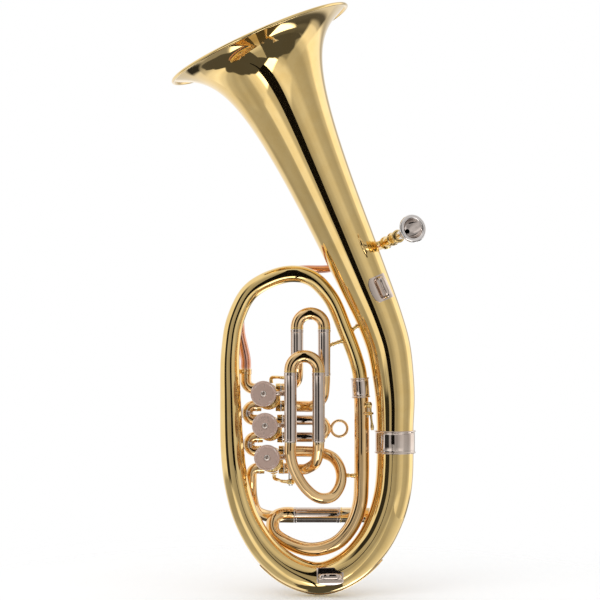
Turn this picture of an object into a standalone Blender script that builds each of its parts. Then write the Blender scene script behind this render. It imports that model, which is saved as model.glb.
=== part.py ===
"""Oval alto horn with three rotary valves, built piece by piece.

Metres, +Z up. The origin is the centre of the ferrule that joins the bell to the big bow.
The bell and the big bow lie in the XZ plane, the touchpieces face -Y, and the mouthpiece
comes towards -Y on the right. Lengths below are in millimetres, as a horn maker gives them,
and are turned into metres where a piece is made.
"""

import math

import bmesh
import bpy
from mathutils import Matrix, Vector

MM = 0.001

# Fits and walls
SEAM = 0.3            # gap between two pieces that are soldered or butted together
SLIDE_GAP = 0.3       # radial gap of a slide's inner leg in its sleeve
WALL = 0.7            # sheet and tube wall
PLATE_THICK = 0.9     # sheet of the strap plates
FOOT_THICK = 0.9      # a brace's foot at its rim
FOOT_RUN = 1.6        # how far a brace's foot tapers down to its bar
BRACE_SEAM = 0.5      # a brace's flat foot stands this far off the round tube
FLARE_STAND_OFF = 0.4   # more for a foot on the bell, which widens along its length
GUARD_STAND_OFF = 0.55  # more for the guard, which spans the bow's facets
KNUCKLE_RUN = 1.9     # a knuckle runs straight this far out of its port
PORT_RUN = 5.0        # a slide's tube runs straight this far out of its port
STRAP_BAR_RISE = 10.2   # the strap bar's centre above the tube
STRAP_BAR_R = 1.9
BEAD = 0.7            # how far the rounded edge of a ferrule stands out

# Bell
BELL_MOUTH_R = 96.2   # outer radius of the flare at its edge, inside the rim ring
BELL_THROAT_R = 19.4  # outer radius where the bell meets the big bow
BELL_CURL = 13.0      # how tightly the flare opens: its last turn is this long
BELL_POWER = 0.41     # how fast the flare narrows away from the mouth
BELL_AXIS_START = (-51.4, 211.1)
BELL_MOUTH = (-142.0, 417.1)
RIM_WIRE_R = 2.1
FERRULE_HALF = 12.0

# Big bow and the branch that returns to the valves
BOW_END_R = 7.7
BRANCH_JOINT = (-36.3, 56.6)
BRANCH_RUN = (0.9, -14.0)   # the tube runs straight through the joint this way
BRANCH_FERRULE_HALF = 10.5
RETURN_END_R = 6.8
BOW_MIDDLE = (-87.0, 0.0, 20.0)
GUARD_HALF = 5.0      # half the width of the guard strip under the big bow
GUARD_THICK = 0.9

# Valves
VALVE_PITCH = 33.0
VALVE_LEAN = 1.6
VALVE_TOP = (-133.0, 45.7)
VALVE_PLANE = 15.0    # depth of the ports' centres
CASING_R = 12.6
CASING_LENGTH = 26.0
CASING_BORE_R = 11.3
ROTOR_GAP = 0.3
PORT_RISE = 9.0       # ports lie this far above and below a valve's centre
PORT_R = 5.8
PORT_REACH = CASING_R + 0.3   # the port stubs end this far from a valve's centre
SPINDLE_R = 2.4
FRONT_WALL = 2.6
CAP_R = 12.2
CAP_HEIGHT = 4.4

# Levers
AXLE_X = -109.5
AXLE_Y = -20.0
AXLE_R = 2.3
HUB_R = 4.2
LEVER_SWING = 26.0
ROTOR_SWING = 90.0
STOP_R = 6.0          # radius of the stop arm's pin about the spindle
STOP_ARM_R = 0.8      # the bar between the stop arm's hub and its eye
STOP_HUB_R = 3.6
STOP_EYE_R = 2.1
TOUCH_R = 13.4
TOUCH_THICK = 2.6
TOUCH_Y = -34.0
TOUCH_REACH = (28.0, 26.5, 24.4)
LEVER_RISE = 6.0      # the levers lie this far above the valves' centres
LINK_PIN_R = 1.0

# Slides
SLEEVE_R = 6.8
CROOK_R = 6.5
SMALL_SLEEVE_R = 5.6
SMALL_CROOK_R = 5.3
TUNING_LEFT = -106.1
TUNING_RIGHT = -57.0
TUNING_FRONT = (29.0, -78.8)
TUNING_BACK = (54.0, -84.8)
TUNING_BEND_X = -35.0
SLIDE_1_X = (-102.9, -74.6)
SLIDE_1_Y = -16.0
SLIDE_1_LOW = (84.0, 70.0)  # where the left and right sleeves are closed
SLIDE_1_MOUTH = 118.0
SLIDE_2_END_X = -83.2
CROOK_RUN = 2.2         # a crook runs straight this far before it bends
SLIDE_2_RING_R = 8.4
SLIDE_2_RING_WIRE = 1.5
SLIDE_3_X = (-109.6, -80.6)
SLIDE_3_Y = -32.0
SLIDE_3_Z = (2.0, 73.5)
LEG_SHORT = 3.0       # an inner leg ends this far above its sleeve's closed end

# Water key on the return branch
KEY_LEVEL = 30.0
KEY_ARM = 9.0
SPOUT_HEIGHT = 3.0
SPOUT_R = 2.8
KEY_PIVOT_HEIGHT = 4.6

# Mouthpiece
MOUTH_RIM = (15.7, -62.0, 221.7)
MOUTH_DIRECTION = (-0.348, 0.920, -0.180)
MOUTH_LENGTH = 62.0
MOUTH_RIM_R = 14.6
MOUTH_CUP_R = 10.6
MOUTH_CUP_DEPTH = 15.0
MOUTH_THROAT_R = 2.2
SHANK_R = 5.0
SHANK_TIP_R = 4.4
SHANK_WALL = 1.2
RECEIVER_START = 38.0
RECEIVER_END = 88.0
RECEIVER_R = 7.0
LEADPIPE_R = (3.8, 5.7)

# How round the tubes are: a tube's sides, and the angle that it turns between two rings
PIN_SIDES = 6
SMALL_SIDES = 8
TURNED_SIDES = 14
BIG_SIDES = 14
BELL_SIDES = 22
FLARE_RINGS = 7
RING_TURN = 24.0

for old in list(bpy.data.objects):
    bpy.data.objects.remove(old, do_unlink=True)

horn = bpy.data.collections.new("alto_horn")
cutters = bpy.data.collections.new("cutters")
bpy.context.scene.collection.children.link(horn)
bpy.context.scene.collection.children.link(cutters)


def metal(name, colour, roughness):
    """A metal finish: lacquered brass, nickel silver or gold brass."""
    material = bpy.data.materials.new(name)
    material.use_nodes = True
    shader = material.node_tree.nodes["Principled BSDF"]
    shader.inputs["Base Color"].default_value = (*colour, 1.0)
    shader.inputs["Roughness"].default_value = roughness
    shader.inputs["Metallic"].default_value = 1.0
    return material


BRASS = metal("lacquered_brass", (0.80, 0.57, 0.27), 0.16)
NICKEL = metal("nickel_silver", (0.72, 0.67, 0.62), 0.20)
GOLD_BRASS = metal("gold_brass", (0.72, 0.36, 0.20), 0.16)
STEEL = metal("steel", (0.55, 0.55, 0.56), 0.30)
CORK = metal("cork", (0.45, 0.28, 0.15), 0.80)
CORK.node_tree.nodes["Principled BSDF"].inputs["Metallic"].default_value = 0.0


def finish(name, mesh, material, where=horn):
    """Puts a mesh in the scene as a named object with its material, shaded smooth."""
    thing = bpy.data.objects.new(name, mesh)
    where.objects.link(thing)
    mesh.materials.clear()
    mesh.materials.append(material)
    mesh.shade_smooth()
    mesh.set_sharp_from_angle(angle=math.radians(40))
    return thing


def evaluated_mesh(thing):
    """The object's mesh with its modifiers, a curve's ends welded, in the object's own space."""
    depsgraph = bpy.context.evaluated_depsgraph_get()
    mesh = bpy.data.meshes.new_from_object(thing.evaluated_get(depsgraph))
    if thing.type != "CURVE":
        return mesh
    shape = bmesh.new()
    shape.from_mesh(mesh)
    bmesh.ops.remove_doubles(shape, verts=shape.verts, dist=1e-6)
    shape.to_mesh(mesh)
    shape.free()
    return mesh


def settle(name, thing, material, where=horn):
    """Turns a curve or a worked object into a plain mesh object in world coordinates."""
    mesh = evaluated_mesh(thing)
    mesh.transform(thing.matrix_world)
    bpy.data.objects.remove(thing, do_unlink=True)
    return finish(name, mesh, material, where)


def cutter(thing):
    """Moves an object to the cutters, out of sight."""
    for holder in list(thing.users_collection):
        holder.objects.unlink(thing)
    cutters.objects.link(thing)
    thing.hide_render = True
    thing.display_type = "WIRE"
    return thing


def combine(thing, other, operation):
    """A Boolean of two closed solids, the second of which stays in the scene as a cutter.

    At these small sizes the exact solver leaves open edges on the valves, so this is the
    manifold one.
    """
    step = thing.modifiers.new(operation.lower(), "BOOLEAN")
    step.operation = operation
    step.solver = "MANIFOLD"
    step.object = cutter(other)
    return thing


def blend(knots, spans=12):
    """A smooth route through the knots: a fine list of (point, radius)."""
    points = [Vector(k[:3]) for k in knots]
    radii = [k[3] for k in knots]
    points = [2 * points[0] - points[1]] + points + [2 * points[-1] - points[-2]]
    radii = [radii[0]] + radii + [radii[-1]]
    route = []
    for i in range(1, len(points) - 2):
        a, b, c, d = points[i - 1:i + 3]
        reach = [0.0]
        for p, q in ((a, b), (b, c), (c, d)):
            reach.append(reach[-1] + max((q - p).length, 1e-6) ** 0.5)
        for k in range(spans):
            t = reach[1] + (reach[2] - reach[1]) * k / spans
            ab = a.lerp(b, (t - reach[0]) / (reach[1] - reach[0]))
            bc = b.lerp(c, (t - reach[1]) / (reach[2] - reach[1]))
            cd = c.lerp(d, (t - reach[2]) / (reach[3] - reach[2]))
            abc = ab.lerp(bc, (t - reach[0]) / (reach[2] - reach[0]))
            bcd = bc.lerp(cd, (t - reach[1]) / (reach[3] - reach[1]))
            point = abc.lerp(bcd, (t - reach[1]) / (reach[2] - reach[1]))
            route.append((point, radii[i] + (radii[i + 1] - radii[i]) * k / spans))
    route.append((points[-2], radii[-1]))
    return route


def thin(route, turn=RING_TURN, longest=60.0, end_run=1):
    """Keeps a ring where the route has turned enough, or has run far enough.

    A ring close to each end keeps the end square to its tube.
    """
    kept = [route[0], route[end_run]]
    heading = route[end_run][0] - route[0][0]
    for i in range(end_run + 1, len(route) - 1 - end_run):
        ahead = route[i + 1][0] - route[i][0]
        far = (route[i][0] - kept[-1][0]).length
        if math.degrees(heading.angle(ahead)) >= turn or far >= longest:
            kept.append(route[i])
            heading = ahead
    return kept + [route[-1 - end_run], route[-1]]


def pipe(name, route, material, sides=SMALL_SIDES, wall=WALL, where=horn):
    """An open tube along a route of (point, outer radius), with a wall inside it."""
    data = bpy.data.curves.new(name, "CURVE")
    data.dimensions = "3D"
    data.bevel_depth = MM
    data.bevel_resolution = (sides - 4) // 2
    data.use_fill_caps = wall is None
    line = data.splines.new("POLY")
    line.points.add(len(route) - 1)
    for spot, (point, radius) in zip(line.points, route):
        spot.co = (*(point * MM), 1.0)
        spot.radius = radius
    thing = bpy.data.objects.new(name, data)
    bpy.context.scene.collection.objects.link(thing)
    if wall is not None:
        shell = thing.modifiers.new("wall", "SOLIDIFY")
        shell.thickness = wall * MM
        shell.offset = -1.0
        shell.use_even_offset = True
    return settle(name, thing, material, where)


def straight(start, end, radius, end_radius=None):
    """A straight route between two points."""
    last = radius if end_radius is None else end_radius
    return [(Vector(start), radius), (Vector(end), last)]


def place_along(thing, origin, direction):
    """Turns a piece made about +Z so that it points along a direction from an origin."""
    turn = Vector(direction).to_track_quat("Z", "Y").to_matrix().to_4x4()
    thing.data.transform(Matrix.Translation(Vector(origin) * MM) @ turn)
    return thing


def turned(name, profile, material, sides, origin=(0, 0, 0), direction=(0, 0, 1), where=horn):
    """A turned piece: a closed profile of (radius, height) spun about +Z, then placed."""
    mesh = bpy.data.meshes.new(name)
    shape = bmesh.new()
    corners = [shape.verts.new((r * MM, 0, z * MM)) for r, z in profile]
    for a, b in zip(corners, corners[1:]):
        shape.edges.new((a, b))
    if profile[0][0] > 0:
        shape.edges.new((corners[-1], corners[0]))
    shape.to_mesh(mesh)
    shape.free()
    thing = bpy.data.objects.new(name, mesh)
    bpy.context.scene.collection.objects.link(thing)
    lathe = thing.modifiers.new("lathe", "SCREW")
    lathe.steps = sides
    lathe.render_steps = sides
    lathe.use_merge_vertices = True
    lathe.merge_threshold = 0.00001
    spun = settle(name, thing, material, where)
    return place_along(spun, origin, direction)


def clear_of(radius, sides):
    """The corner radius of a faceted hole whose flats clear a round of this radius."""
    return (radius + SEAM) / math.cos(math.pi / sides)


def ring_profile(inner, outer, low, high, bead=0.0):
    """The section of a ferrule or sleeve: down its outside, and up its inside."""
    edge = min(2.4, (high - low) / 4)
    profile = [(outer + bead, high), (outer + bead, high - edge), (outer, high - edge)]
    profile += [(outer, low + edge), (outer + bead, low + edge), (outer + bead, low)]
    if not bead:
        profile = [(outer, high), (outer, low)]
    return profile + [(inner, low), (inner, high)]


def rod(name, start, end, radius, material, sides=PIN_SIDES, where=horn):
    """A plain round bar."""
    return pipe(name, straight(start, end, radius), material, sides, None, where)


def skin_distance(place, along, foot):
    """How far from a tube's axis a bar with a wide foot may start, going along a direction."""
    point, radius, heading = place
    slant = abs(heading.normalized().dot(along))
    square = math.sqrt(1 - slant * slant)
    return (radius + BRACE_SEAM + foot * slant) / square


def brace(name, start, end, radius, material, foot=2.6, sides=PIN_SIDES):
    """A bar between two tubes, each (point, radius, heading), with a foot at both ends."""
    along = (end[0] - start[0]).normalized()
    a = start[0] + along * skin_distance(start, along, foot)
    b = end[0] - along * skin_distance(end, along, foot)
    spread = [(a, foot), (b, foot)]
    if (b - a).length > 4 * FOOT_RUN:
        spread = [(a, foot), (a + along * FOOT_THICK, foot), (a + along * FOOT_RUN, radius)]
        spread += [(b - along * FOOT_RUN, radius), (b - along * FOOT_THICK, foot), (b, foot)]
    return pipe(name, spread, material, sides, None)


def closest(route, point):
    """The place on a tube's line nearest to a point, as (point, radius, heading)."""
    target = Vector(point)
    best = None
    for (a, radius_a), (b, radius_b) in zip(route, route[1:]):
        heading = b - a
        share = min(max((target - a).dot(heading) / heading.dot(heading), 0.0), 1.0)
        here = a + heading * share
        away = (target - here).length
        if best is None or away < best[0]:
            best = (away, here, radius_a + (radius_b - radius_a) * share, heading)
    return best[1:]


def grown(route, by):
    """The same route with every radius made larger."""
    return [(point, radius + by) for point, radius in route]


# The bell: a long stem that bends away from the ferrule, then the flare

def bell_route():
    """The stem follows the drawn bend; the flare opens as a Bessel horn does."""
    start = Vector((BELL_AXIS_START[0], 0, BELL_AXIS_START[1]))
    mouth = Vector((BELL_MOUTH[0], 0, BELL_MOUTH[1]))
    length = (mouth - start).length
    axis = (mouth - start).normalized()

    def flare_r(distance):
        return BELL_MOUTH_R * (BELL_CURL / (distance + BELL_CURL)) ** BELL_POWER

    knots = [(0, 0, SEAM / 2, BELL_THROAT_R), (0, 0, FERRULE_HALF + 2, BELL_THROAT_R)]
    knots += [(0, 0, 43.6, 20.7), (-1.6, 0, 64.6, 21.6)]
    knots += [(-6.8, 0, 99.2, 23.0), (-15.8, 0, 127.6, 24.2)]
    knots += [(*start, flare_r(length)), (*(start + axis * 20), flare_r(length - 20))]
    stem = blend(knots)[:-12]
    growth = (1 + length / BELL_CURL) ** (1 / FLARE_RINGS)
    distances = [BELL_CURL * (growth ** k - 1) for k in range(FLARE_RINGS - 1, -1, -1)]
    flare = [(mouth - axis * s, flare_r(s)) for s in distances]
    return stem, flare, axis


stem, flare, bell_axis = bell_route()
bell_line = thin(stem, 6.0, 34.0) + flare
bell = pipe("bell", bell_line, BRASS, BELL_SIDES)
bell_mouth = Vector((BELL_MOUTH[0], 0, BELL_MOUTH[1]))

# The rim: a ring of wire that the edge of the flare is rolled round, flat in front
rim_r = clear_of(BELL_MOUTH_R, BELL_SIDES) + RIM_WIRE_R
rim_section = [(rim_r + 0.9, RIM_WIRE_R), (rim_r + RIM_WIRE_R, 0.9), (rim_r + RIM_WIRE_R, -0.9)]
rim_section += [(rim_r + 0.9, -RIM_WIRE_R), (rim_r - 0.9, -RIM_WIRE_R)]
rim_section += [(rim_r - RIM_WIRE_R, -0.9), (rim_r - RIM_WIRE_R, 0.9), (rim_r - 0.9, RIM_WIRE_R)]
turned("bell_rim_ring", rim_section, BRASS, BELL_SIDES, bell_mouth, bell_axis)

joint = Vector((BRANCH_JOINT[0], 0, BRANCH_JOINT[1]))
joint_run = Vector((BRANCH_RUN[0], 0, BRANCH_RUN[1]))
joint_seam = joint_run.normalized() * SEAM / 2

# The big bow: from the bell's ferrule round the bottom, up the left side and over the top
bow_knots = [
    (0, 0, -SEAM / 2, BELL_THROAT_R), (0, 0, -FERRULE_HALF - 6, BELL_THROAT_R),
    (-0.6, 0, -34.0, 19.5), (-2.8, 0, -54.0, 19.4),
    (-9.8, 0, -79.5, 19.0), (-23.6, 0, -106.6, 18.3), (-47.2, 0, -130.7, 17.5),
    (-76.7, 0, -142.8, 16.8), (-107.1, 0, -136.0, 16.0), (-133.3, 0, -116.0, 14.9),
    (-154.3, 0, -83.5, 13.6), (-164.9, 0, -50.9, 13.0), (-170.1, 0, -16.2, 12.5),
    (-172.7, 0, 43.6, 11.0), (-172.7, 0, 96.1, 9.7), (-166.9, 0, 129.7, 9.3),
    (-150.2, 0, 159.1, 9.1), (-114.5, 0, 175.4, 8.9), (-89.2, 0, 172.2, 8.6),
    (-68.2, 0, 151.8, 8.3), (-52.5, 0, 117.1, 8.0), (-41.2, 0, 87.0, BOW_END_R),
    (*(joint - joint_run), BOW_END_R), (*(joint - joint_seam), BOW_END_R),
]
bow_route = blend(bow_knots)
bow_line = thin(bow_route, end_run=12)
pipe("main_bow", bow_line, BRASS, BIG_SIDES)

# The ferrules over the two joints
bell_ferrule_r = clear_of(BELL_THROAT_R + 0.1, BIG_SIDES)
turned("bell_ferrule", ring_profile(bell_ferrule_r, bell_ferrule_r + WALL, -FERRULE_HALF,
                                    FERRULE_HALF, BEAD), NICKEL, BIG_SIDES)

# The return branch: down beside the bell, round the bottom and back to the tuning slide
return_knots = [
    (*(joint + joint_seam), BOW_END_R), (*(joint + joint_run), BOW_END_R),
    (-35.0, 0, 22.6, 7.8),
    (-34.9, 0, -8.9, 7.9), (-35.2, 0, -40.4, 7.9), (-37.2, 0, -66.7, 7.9),
    (-46.2, 0, -89.8, 7.7), (-61.9, 0, -106.6, 7.6), (-87.1, 5, -114.0, 7.4),
    (-112.4, 14, -108.3, 7.2), (-127.5, 20.5, -97.5, 7.0), (-127.0, 26.0, -83.5, 6.9),
    (-117.0, 29.0, TUNING_FRONT[1], RETURN_END_R),
    (TUNING_LEFT - SEAM, TUNING_FRONT[0], TUNING_FRONT[1], RETURN_END_R),
]
return_line = thin(blend(return_knots))
pipe("return_branch", return_line, BRASS, 12)
branch_ferrule_r = clear_of(BOW_END_R + 0.2, 12)
turned("branch_ferrule",
       ring_profile(branch_ferrule_r, branch_ferrule_r + WALL, -BRANCH_FERRULE_HALF,
                    BRANCH_FERRULE_HALF, BEAD), NICKEL, 12, joint, -joint_run)

# The valves: three casings in a leaning bank, axes along Y, each with four ports

def valve_centre(index):
    """The middle of a valve, in the ports' plane."""
    return Vector((VALVE_TOP[0] + index * VALVE_LEAN, VALVE_PLANE,
                   VALVE_TOP[1] - index * VALVE_PITCH))


def port(index, side, rise, out=PORT_REACH + SEAM):
    """A point on a port's axis: side is -1 on the left, rise is 1 at the top."""
    return valve_centre(index) + Vector((side * out, 0, rise * PORT_RISE))


CASING_FRONT = VALVE_PLANE - CASING_LENGTH / 2
CASING_BACK = VALVE_PLANE + CASING_LENGTH / 2
ROTOR_R = CASING_BORE_R - ROTOR_GAP
PASSAGE_R = PORT_R - WALL
STOP_ARM_BACK = CASING_FRONT - 0.6
STOP_ARM_FRONT = STOP_ARM_BACK - 1.8
LINK_BACK = STOP_ARM_FRONT - 0.4
LINK_FRONT = LINK_BACK - 2.0
LINK_MIDDLE = (LINK_BACK + LINK_FRONT) / 2
REST_TILT = math.radians(ROTOR_SWING / 2)
PIN_AT_REST = Vector((-STOP_R * math.sin(REST_TILT), 0, STOP_R * math.cos(REST_TILT)))


def drum(name, centre, radius, front, back, material, sides=TURNED_SIDES, where=horn):
    """A round block along Y between two depths."""
    profile = [(0, 0), (radius, 0), (radius, front - back), (0, front - back)]
    return turned(name, profile, material, sides, (centre[0], back, centre[2]), (0, 1, 0), where)


def make_casing(index):
    """A turned housing with its four port stubs, bored for the rotor from behind."""
    name = f"valve_casing_{index + 1}"
    middle = valve_centre(index)
    casing = drum(name, middle, CASING_R, CASING_FRONT, CASING_BACK, BRASS)
    for side in (-1, 1):
        for rise in (-1, 1):
            stub = rod(f"stub_{index}_{side}_{rise}", port(index, side, rise, 4.0),
                       port(index, side, rise, PORT_REACH), PORT_R, BRASS,
                       SMALL_SIDES)
            combine(casing, stub, "UNION")
    bore = drum(f"bore_{index}", middle, CASING_BORE_R, CASING_FRONT + FRONT_WALL,
                CASING_BACK + 1, BRASS)
    combine(casing, bore, "DIFFERENCE")
    spindle_hole = drum(f"spindle_hole_{index}", middle, SPINDLE_R + 0.3, CASING_FRONT - 1,
                        CASING_FRONT + FRONT_WALL + 1, BRASS, SMALL_SIDES)
    combine(casing, spindle_hole, "DIFFERENCE")
    for side in (-1, 1):
        for rise in (-1, 1):
            bore = rod(f"port_bore_{index}_{side}_{rise}", port(index, side, rise, 5.0),
                       port(index, side, rise, PORT_REACH + 1), PASSAGE_R, BRASS)
            combine(casing, bore, "DIFFERENCE")
    return settle(name, casing, BRASS)


def make_rotor(index):
    """A rotor with a passage down each side, its spindle, and the stop arm on its end."""
    name = f"rotor_{index + 1}"
    middle = valve_centre(index)
    rotor = drum(name, middle, ROTOR_R, CASING_FRONT + FRONT_WALL + 0.4, CASING_BACK - 0.4,
                 BRASS)
    for side in (-1, 1):
        passage = rod(f"passage_{index}_{side}", middle + Vector((side * 8.6, 0, -16)),
                      middle + Vector((side * 8.6, 0, 16)), PASSAGE_R, BRASS,
                      SMALL_SIDES)
        combine(rotor, passage, "DIFFERENCE")
    spindle = drum(f"spindle_{index}", middle, SPINDLE_R, STOP_ARM_FRONT - 0.8,
                   CASING_FRONT + FRONT_WALL + 1, STEEL, SMALL_SIDES)
    combine(rotor, spindle, "UNION")
    pin_at = middle + PIN_AT_REST
    arm_depth = Vector((0, (STOP_ARM_FRONT + STOP_ARM_BACK) / 2 - VALVE_PLANE, 0))
    arm = rod(f"stop_arm_{index}", middle + arm_depth, pin_at + arm_depth, STOP_ARM_R, BRASS)
    combine(rotor, arm, "UNION")
    hub = drum(f"stop_hub_{index}", middle, STOP_HUB_R, STOP_ARM_FRONT, STOP_ARM_BACK, BRASS, 10)
    combine(rotor, hub, "UNION")
    eye = drum(f"stop_eye_{index}", pin_at, STOP_EYE_R, STOP_ARM_FRONT, STOP_ARM_BACK, BRASS, 8)
    combine(rotor, eye, "UNION")
    pin = drum(f"stop_pin_{index}", pin_at, LINK_PIN_R, LINK_FRONT - 0.8, STOP_ARM_BACK - 0.5,
               STEEL, PIN_SIDES)
    combine(rotor, pin, "UNION")
    return settle(name, rotor, BRASS)


def make_cap(index):
    """The screw cap behind a valve: a disc with a raised middle."""
    middle = valve_centre(index)
    profile = [(0, CAP_HEIGHT), (4.5, CAP_HEIGHT), (6.0, CAP_HEIGHT - 1.4)]
    profile += [(CAP_R - 1, CAP_HEIGHT - 1.4), (CAP_R, CAP_HEIGHT - 2.2), (CAP_R, 0), (0, 0)]
    turned(f"valve_cap_{index + 1}", profile, NICKEL, TURNED_SIDES,
           (middle.x, CASING_BACK + SEAM, middle.z), (0, 1, 0))


for valve in range(3):
    make_casing(valve)
    make_rotor(valve)
    make_cap(valve)


# The knuckles: bows on the left from each valve's lower port to the next one's upper port

def make_knuckle(index):
    """A half turn of tube with a nickel band's step round its middle."""
    top = port(index, -1, -1)
    bottom = port(index + 1, -1, 1)
    centre = (top + bottom) / 2
    centre.x = min(top.x, bottom.x) - KNUCKLE_RUN
    radius = (top.z - bottom.z) / 2
    route = [(top, PORT_R)]
    band = 24
    for angle in (0, 33, 66, 66.5, 90, 113.5, 114, 147, 180):
        turn = math.radians(angle)
        point = centre + Vector((-math.sin(turn), 0, math.cos(turn))) * radius
        grow = 0.6 if abs(angle - 90) < band else 0.0
        route.append((point, PORT_R + grow))
    route.append((bottom, PORT_R))
    pipe(f"knuckle_{index + 1}_to_{index + 2}", route, BRASS)


make_knuckle(0)
make_knuckle(1)


# The leadpipe: gold brass, from the receiver round behind the bell and the bow's top

mouth_axis = Vector(MOUTH_DIRECTION).normalized()
mouth_rim = Vector(MOUTH_RIM)


def along_mouth(distance):
    """A point on the mouthpiece's axis, measured from its rim."""
    return mouth_rim + mouth_axis * distance


inlet = port(0, -1, 1)
INLET_X = inlet.x - 11.0
INLET_TOP = 75.8
lead_start = along_mouth(RECEIVER_END + SEAM)
lead_knots = [
    (*lead_start, LEADPIPE_R[0]), (*(lead_start + mouth_axis * 6), LEADPIPE_R[0]),
    (-28.0, 34.0, 198.5, 3.9), (-45.0, 38.5, 190.0, 4.0), (-66.6, 37.0, 182.5, 4.1),
    (-99.8, 27.0, 181.0, 4.3), (-130.0, 23.0, 175.5, 4.6), (-151.0, 21.0, 160.0, 4.8),
    (-162.5, 19.5, 137.0, 5.0), (-163.2, 17.5, 115.0, 5.2), (-159.5, 15.6, 97.0, 5.4),
    (INLET_X, VALVE_PLANE, 85.0, 5.5),
    (INLET_X, VALVE_PLANE, INLET_TOP + SEAM, LEADPIPE_R[1]),
]
lead_route = blend(lead_knots)
pipe("leadpipe", thin(lead_route), GOLD_BRASS)

# The elbow into the first valve, with the leadpipe's ferrule as its thicker top
elbow_knots = [(INLET_X, VALVE_PLANE, INLET_TOP, PORT_R + 0.6),
               (INLET_X, VALVE_PLANE, INLET_TOP - 5.0, PORT_R + 0.6),
               (INLET_X, VALVE_PLANE, INLET_TOP - 5.4, PORT_R)]
elbow = [(Vector(k[:3]), k[3]) for k in elbow_knots]
BEND = 9.0
for angle in (0, 30, 60, 90):
    turn = math.radians(angle)
    elbow.append((Vector((INLET_X + BEND * (1 - math.cos(turn)), VALVE_PLANE,
                          inlet.z + BEND * (1 - math.sin(turn)))), PORT_R))
elbow.append((inlet, PORT_R))
pipe("inlet_elbow", elbow, BRASS)

# The outlet pipe: from the last valve down behind the big bow to the tuning slide
outlet = port(2, -1, -1)
OUTLET_BEND = 6.4
OUTLET_RUN = 1.8
outlet_route = [(outlet, PORT_R)]
for angle in (0, 30, 60):
    turn = math.radians(angle)
    outlet_route.append((outlet + Vector((-OUTLET_RUN - OUTLET_BEND * math.sin(turn), 0,
                                          OUTLET_BEND * (math.cos(turn) - 1))), PORT_R))
outlet_x = outlet.x - OUTLET_RUN - OUTLET_BEND
outlet_route += thin(blend([
    (outlet_x, VALVE_PLANE, outlet.z - OUTLET_BEND, PORT_R),
    (outlet_x, VALVE_PLANE + 0.5, outlet.z - OUTLET_BEND - 4, PORT_R),
    (outlet_x + 0.5, VALVE_PLANE + 4, outlet.z - 20.0, 5.9), (-148.5, 29.0, -63.0, 6.0),
    (-143.0, 42.0, -76.5, 6.1), (-131.0, 51.0, -83.5, 6.3), (-117.0, *TUNING_BACK, 6.6),
    (TUNING_LEFT - SEAM, *TUNING_BACK, RETURN_END_R)]))
pipe("valve_outlet_pipe", outlet_route, BRASS)


# The slides: nickel sleeves stay on the horn, and a crook with two inner legs draws out

def make_sleeve(name, start, end, radius):
    """A plain nickel tube, open at both ends."""
    return pipe(name, straight(start, end, radius), NICKEL, BIG_SIDES)


def make_crook(name, leg_a, leg_b, depth, radius, inner_r):
    """A bow with a thinner leg at each end: legs run from a start to the sleeve's mouth."""
    (start_a, mouth_a), (start_b, mouth_b) = leg_a, leg_b
    out = (mouth_a - start_a).normalized()
    shoulder_a = mouth_a + out * SEAM
    shoulder_b = mouth_b + out * SEAM
    middle = (shoulder_a + shoulder_b) / 2
    if (shoulder_a - shoulder_b).dot(out):
        level = max(shoulder_a.dot(out), shoulder_b.dot(out)) - middle.dot(out)
        middle = middle + out * level
    middle = middle + out * depth
    across = (shoulder_a - shoulder_b)
    across = across - out * across.dot(out)
    reach = across.length / 2
    across.normalize()
    route = [(start_a, inner_r), (shoulder_a - out * 0.02, inner_r), (shoulder_a, radius)]
    for angle in range(0, 181, 30):
        turn = math.radians(angle)
        point = middle + across * (reach * math.cos(turn)) + out * (reach * math.sin(turn))
        route.append((point, radius))
    route += [(shoulder_b, radius), (shoulder_b - out * 0.02, inner_r), (start_b, inner_r)]
    return pipe(name, route, BRASS, SMALL_SIDES, WALL - 0.1)


INNER_R = SLEEVE_R - WALL - SLIDE_GAP
SMALL_INNER_R = SMALL_SLEEVE_R - WALL - SLIDE_GAP

# The main tuning slide: two level legs behind the bows, which draws out to the right
tuning_legs = []
for place, (depth, height) in (("front", TUNING_FRONT), ("back", TUNING_BACK)):
    closed = Vector((TUNING_LEFT, depth, height))
    mouth = Vector((TUNING_RIGHT, depth, height))
    make_sleeve(f"tuning_sleeve_{place}", closed, mouth, SLEEVE_R)
    tuning_legs.append((closed + Vector((LEG_SHORT, 0, 0)), mouth))
make_crook("tuning_crook", tuning_legs[0], tuning_legs[1],
           TUNING_BEND_X - TUNING_RIGHT - SEAM, CROOK_R, INNER_R)

# The first valve's slide draws upward, behind the third's
slide_1_legs = []
for side, x, low in zip(("left", "right"), SLIDE_1_X, SLIDE_1_LOW):
    closed = Vector((x, SLIDE_1_Y, low))
    mouth = Vector((x, SLIDE_1_Y, SLIDE_1_MOUTH))
    make_sleeve(f"slide_1_sleeve_{side}", closed, mouth, SLEEVE_R)
    slide_1_legs.append((closed + Vector((0, 0, LEG_SHORT)), mouth))
make_crook("slide_1_crook", slide_1_legs[0], slide_1_legs[1], CROOK_RUN, CROOK_R, INNER_R)
top_port = port(0, 1, 1)
low_port = port(0, 1, -1)
pipe("slide_1_left_branch", thin(blend([
    (*top_port, PORT_R), (top_port.x + PORT_RUN / 2, VALVE_PLANE, top_port.z, PORT_R),
    (top_port.x + PORT_RUN, VALVE_PLANE, top_port.z, PORT_R),
    (SLIDE_1_X[0] - 4.5, 6.0, top_port.z + 5.0, 6.0), (SLIDE_1_X[0] - 0.5, -7.0, 66.0, 6.3),
    (SLIDE_1_X[0], SLIDE_1_Y, SLIDE_1_LOW[0] - 4, 6.4),
    (SLIDE_1_X[0], SLIDE_1_Y, SLIDE_1_LOW[0] - SEAM, 6.4)]), end_run=12), BRASS)
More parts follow.
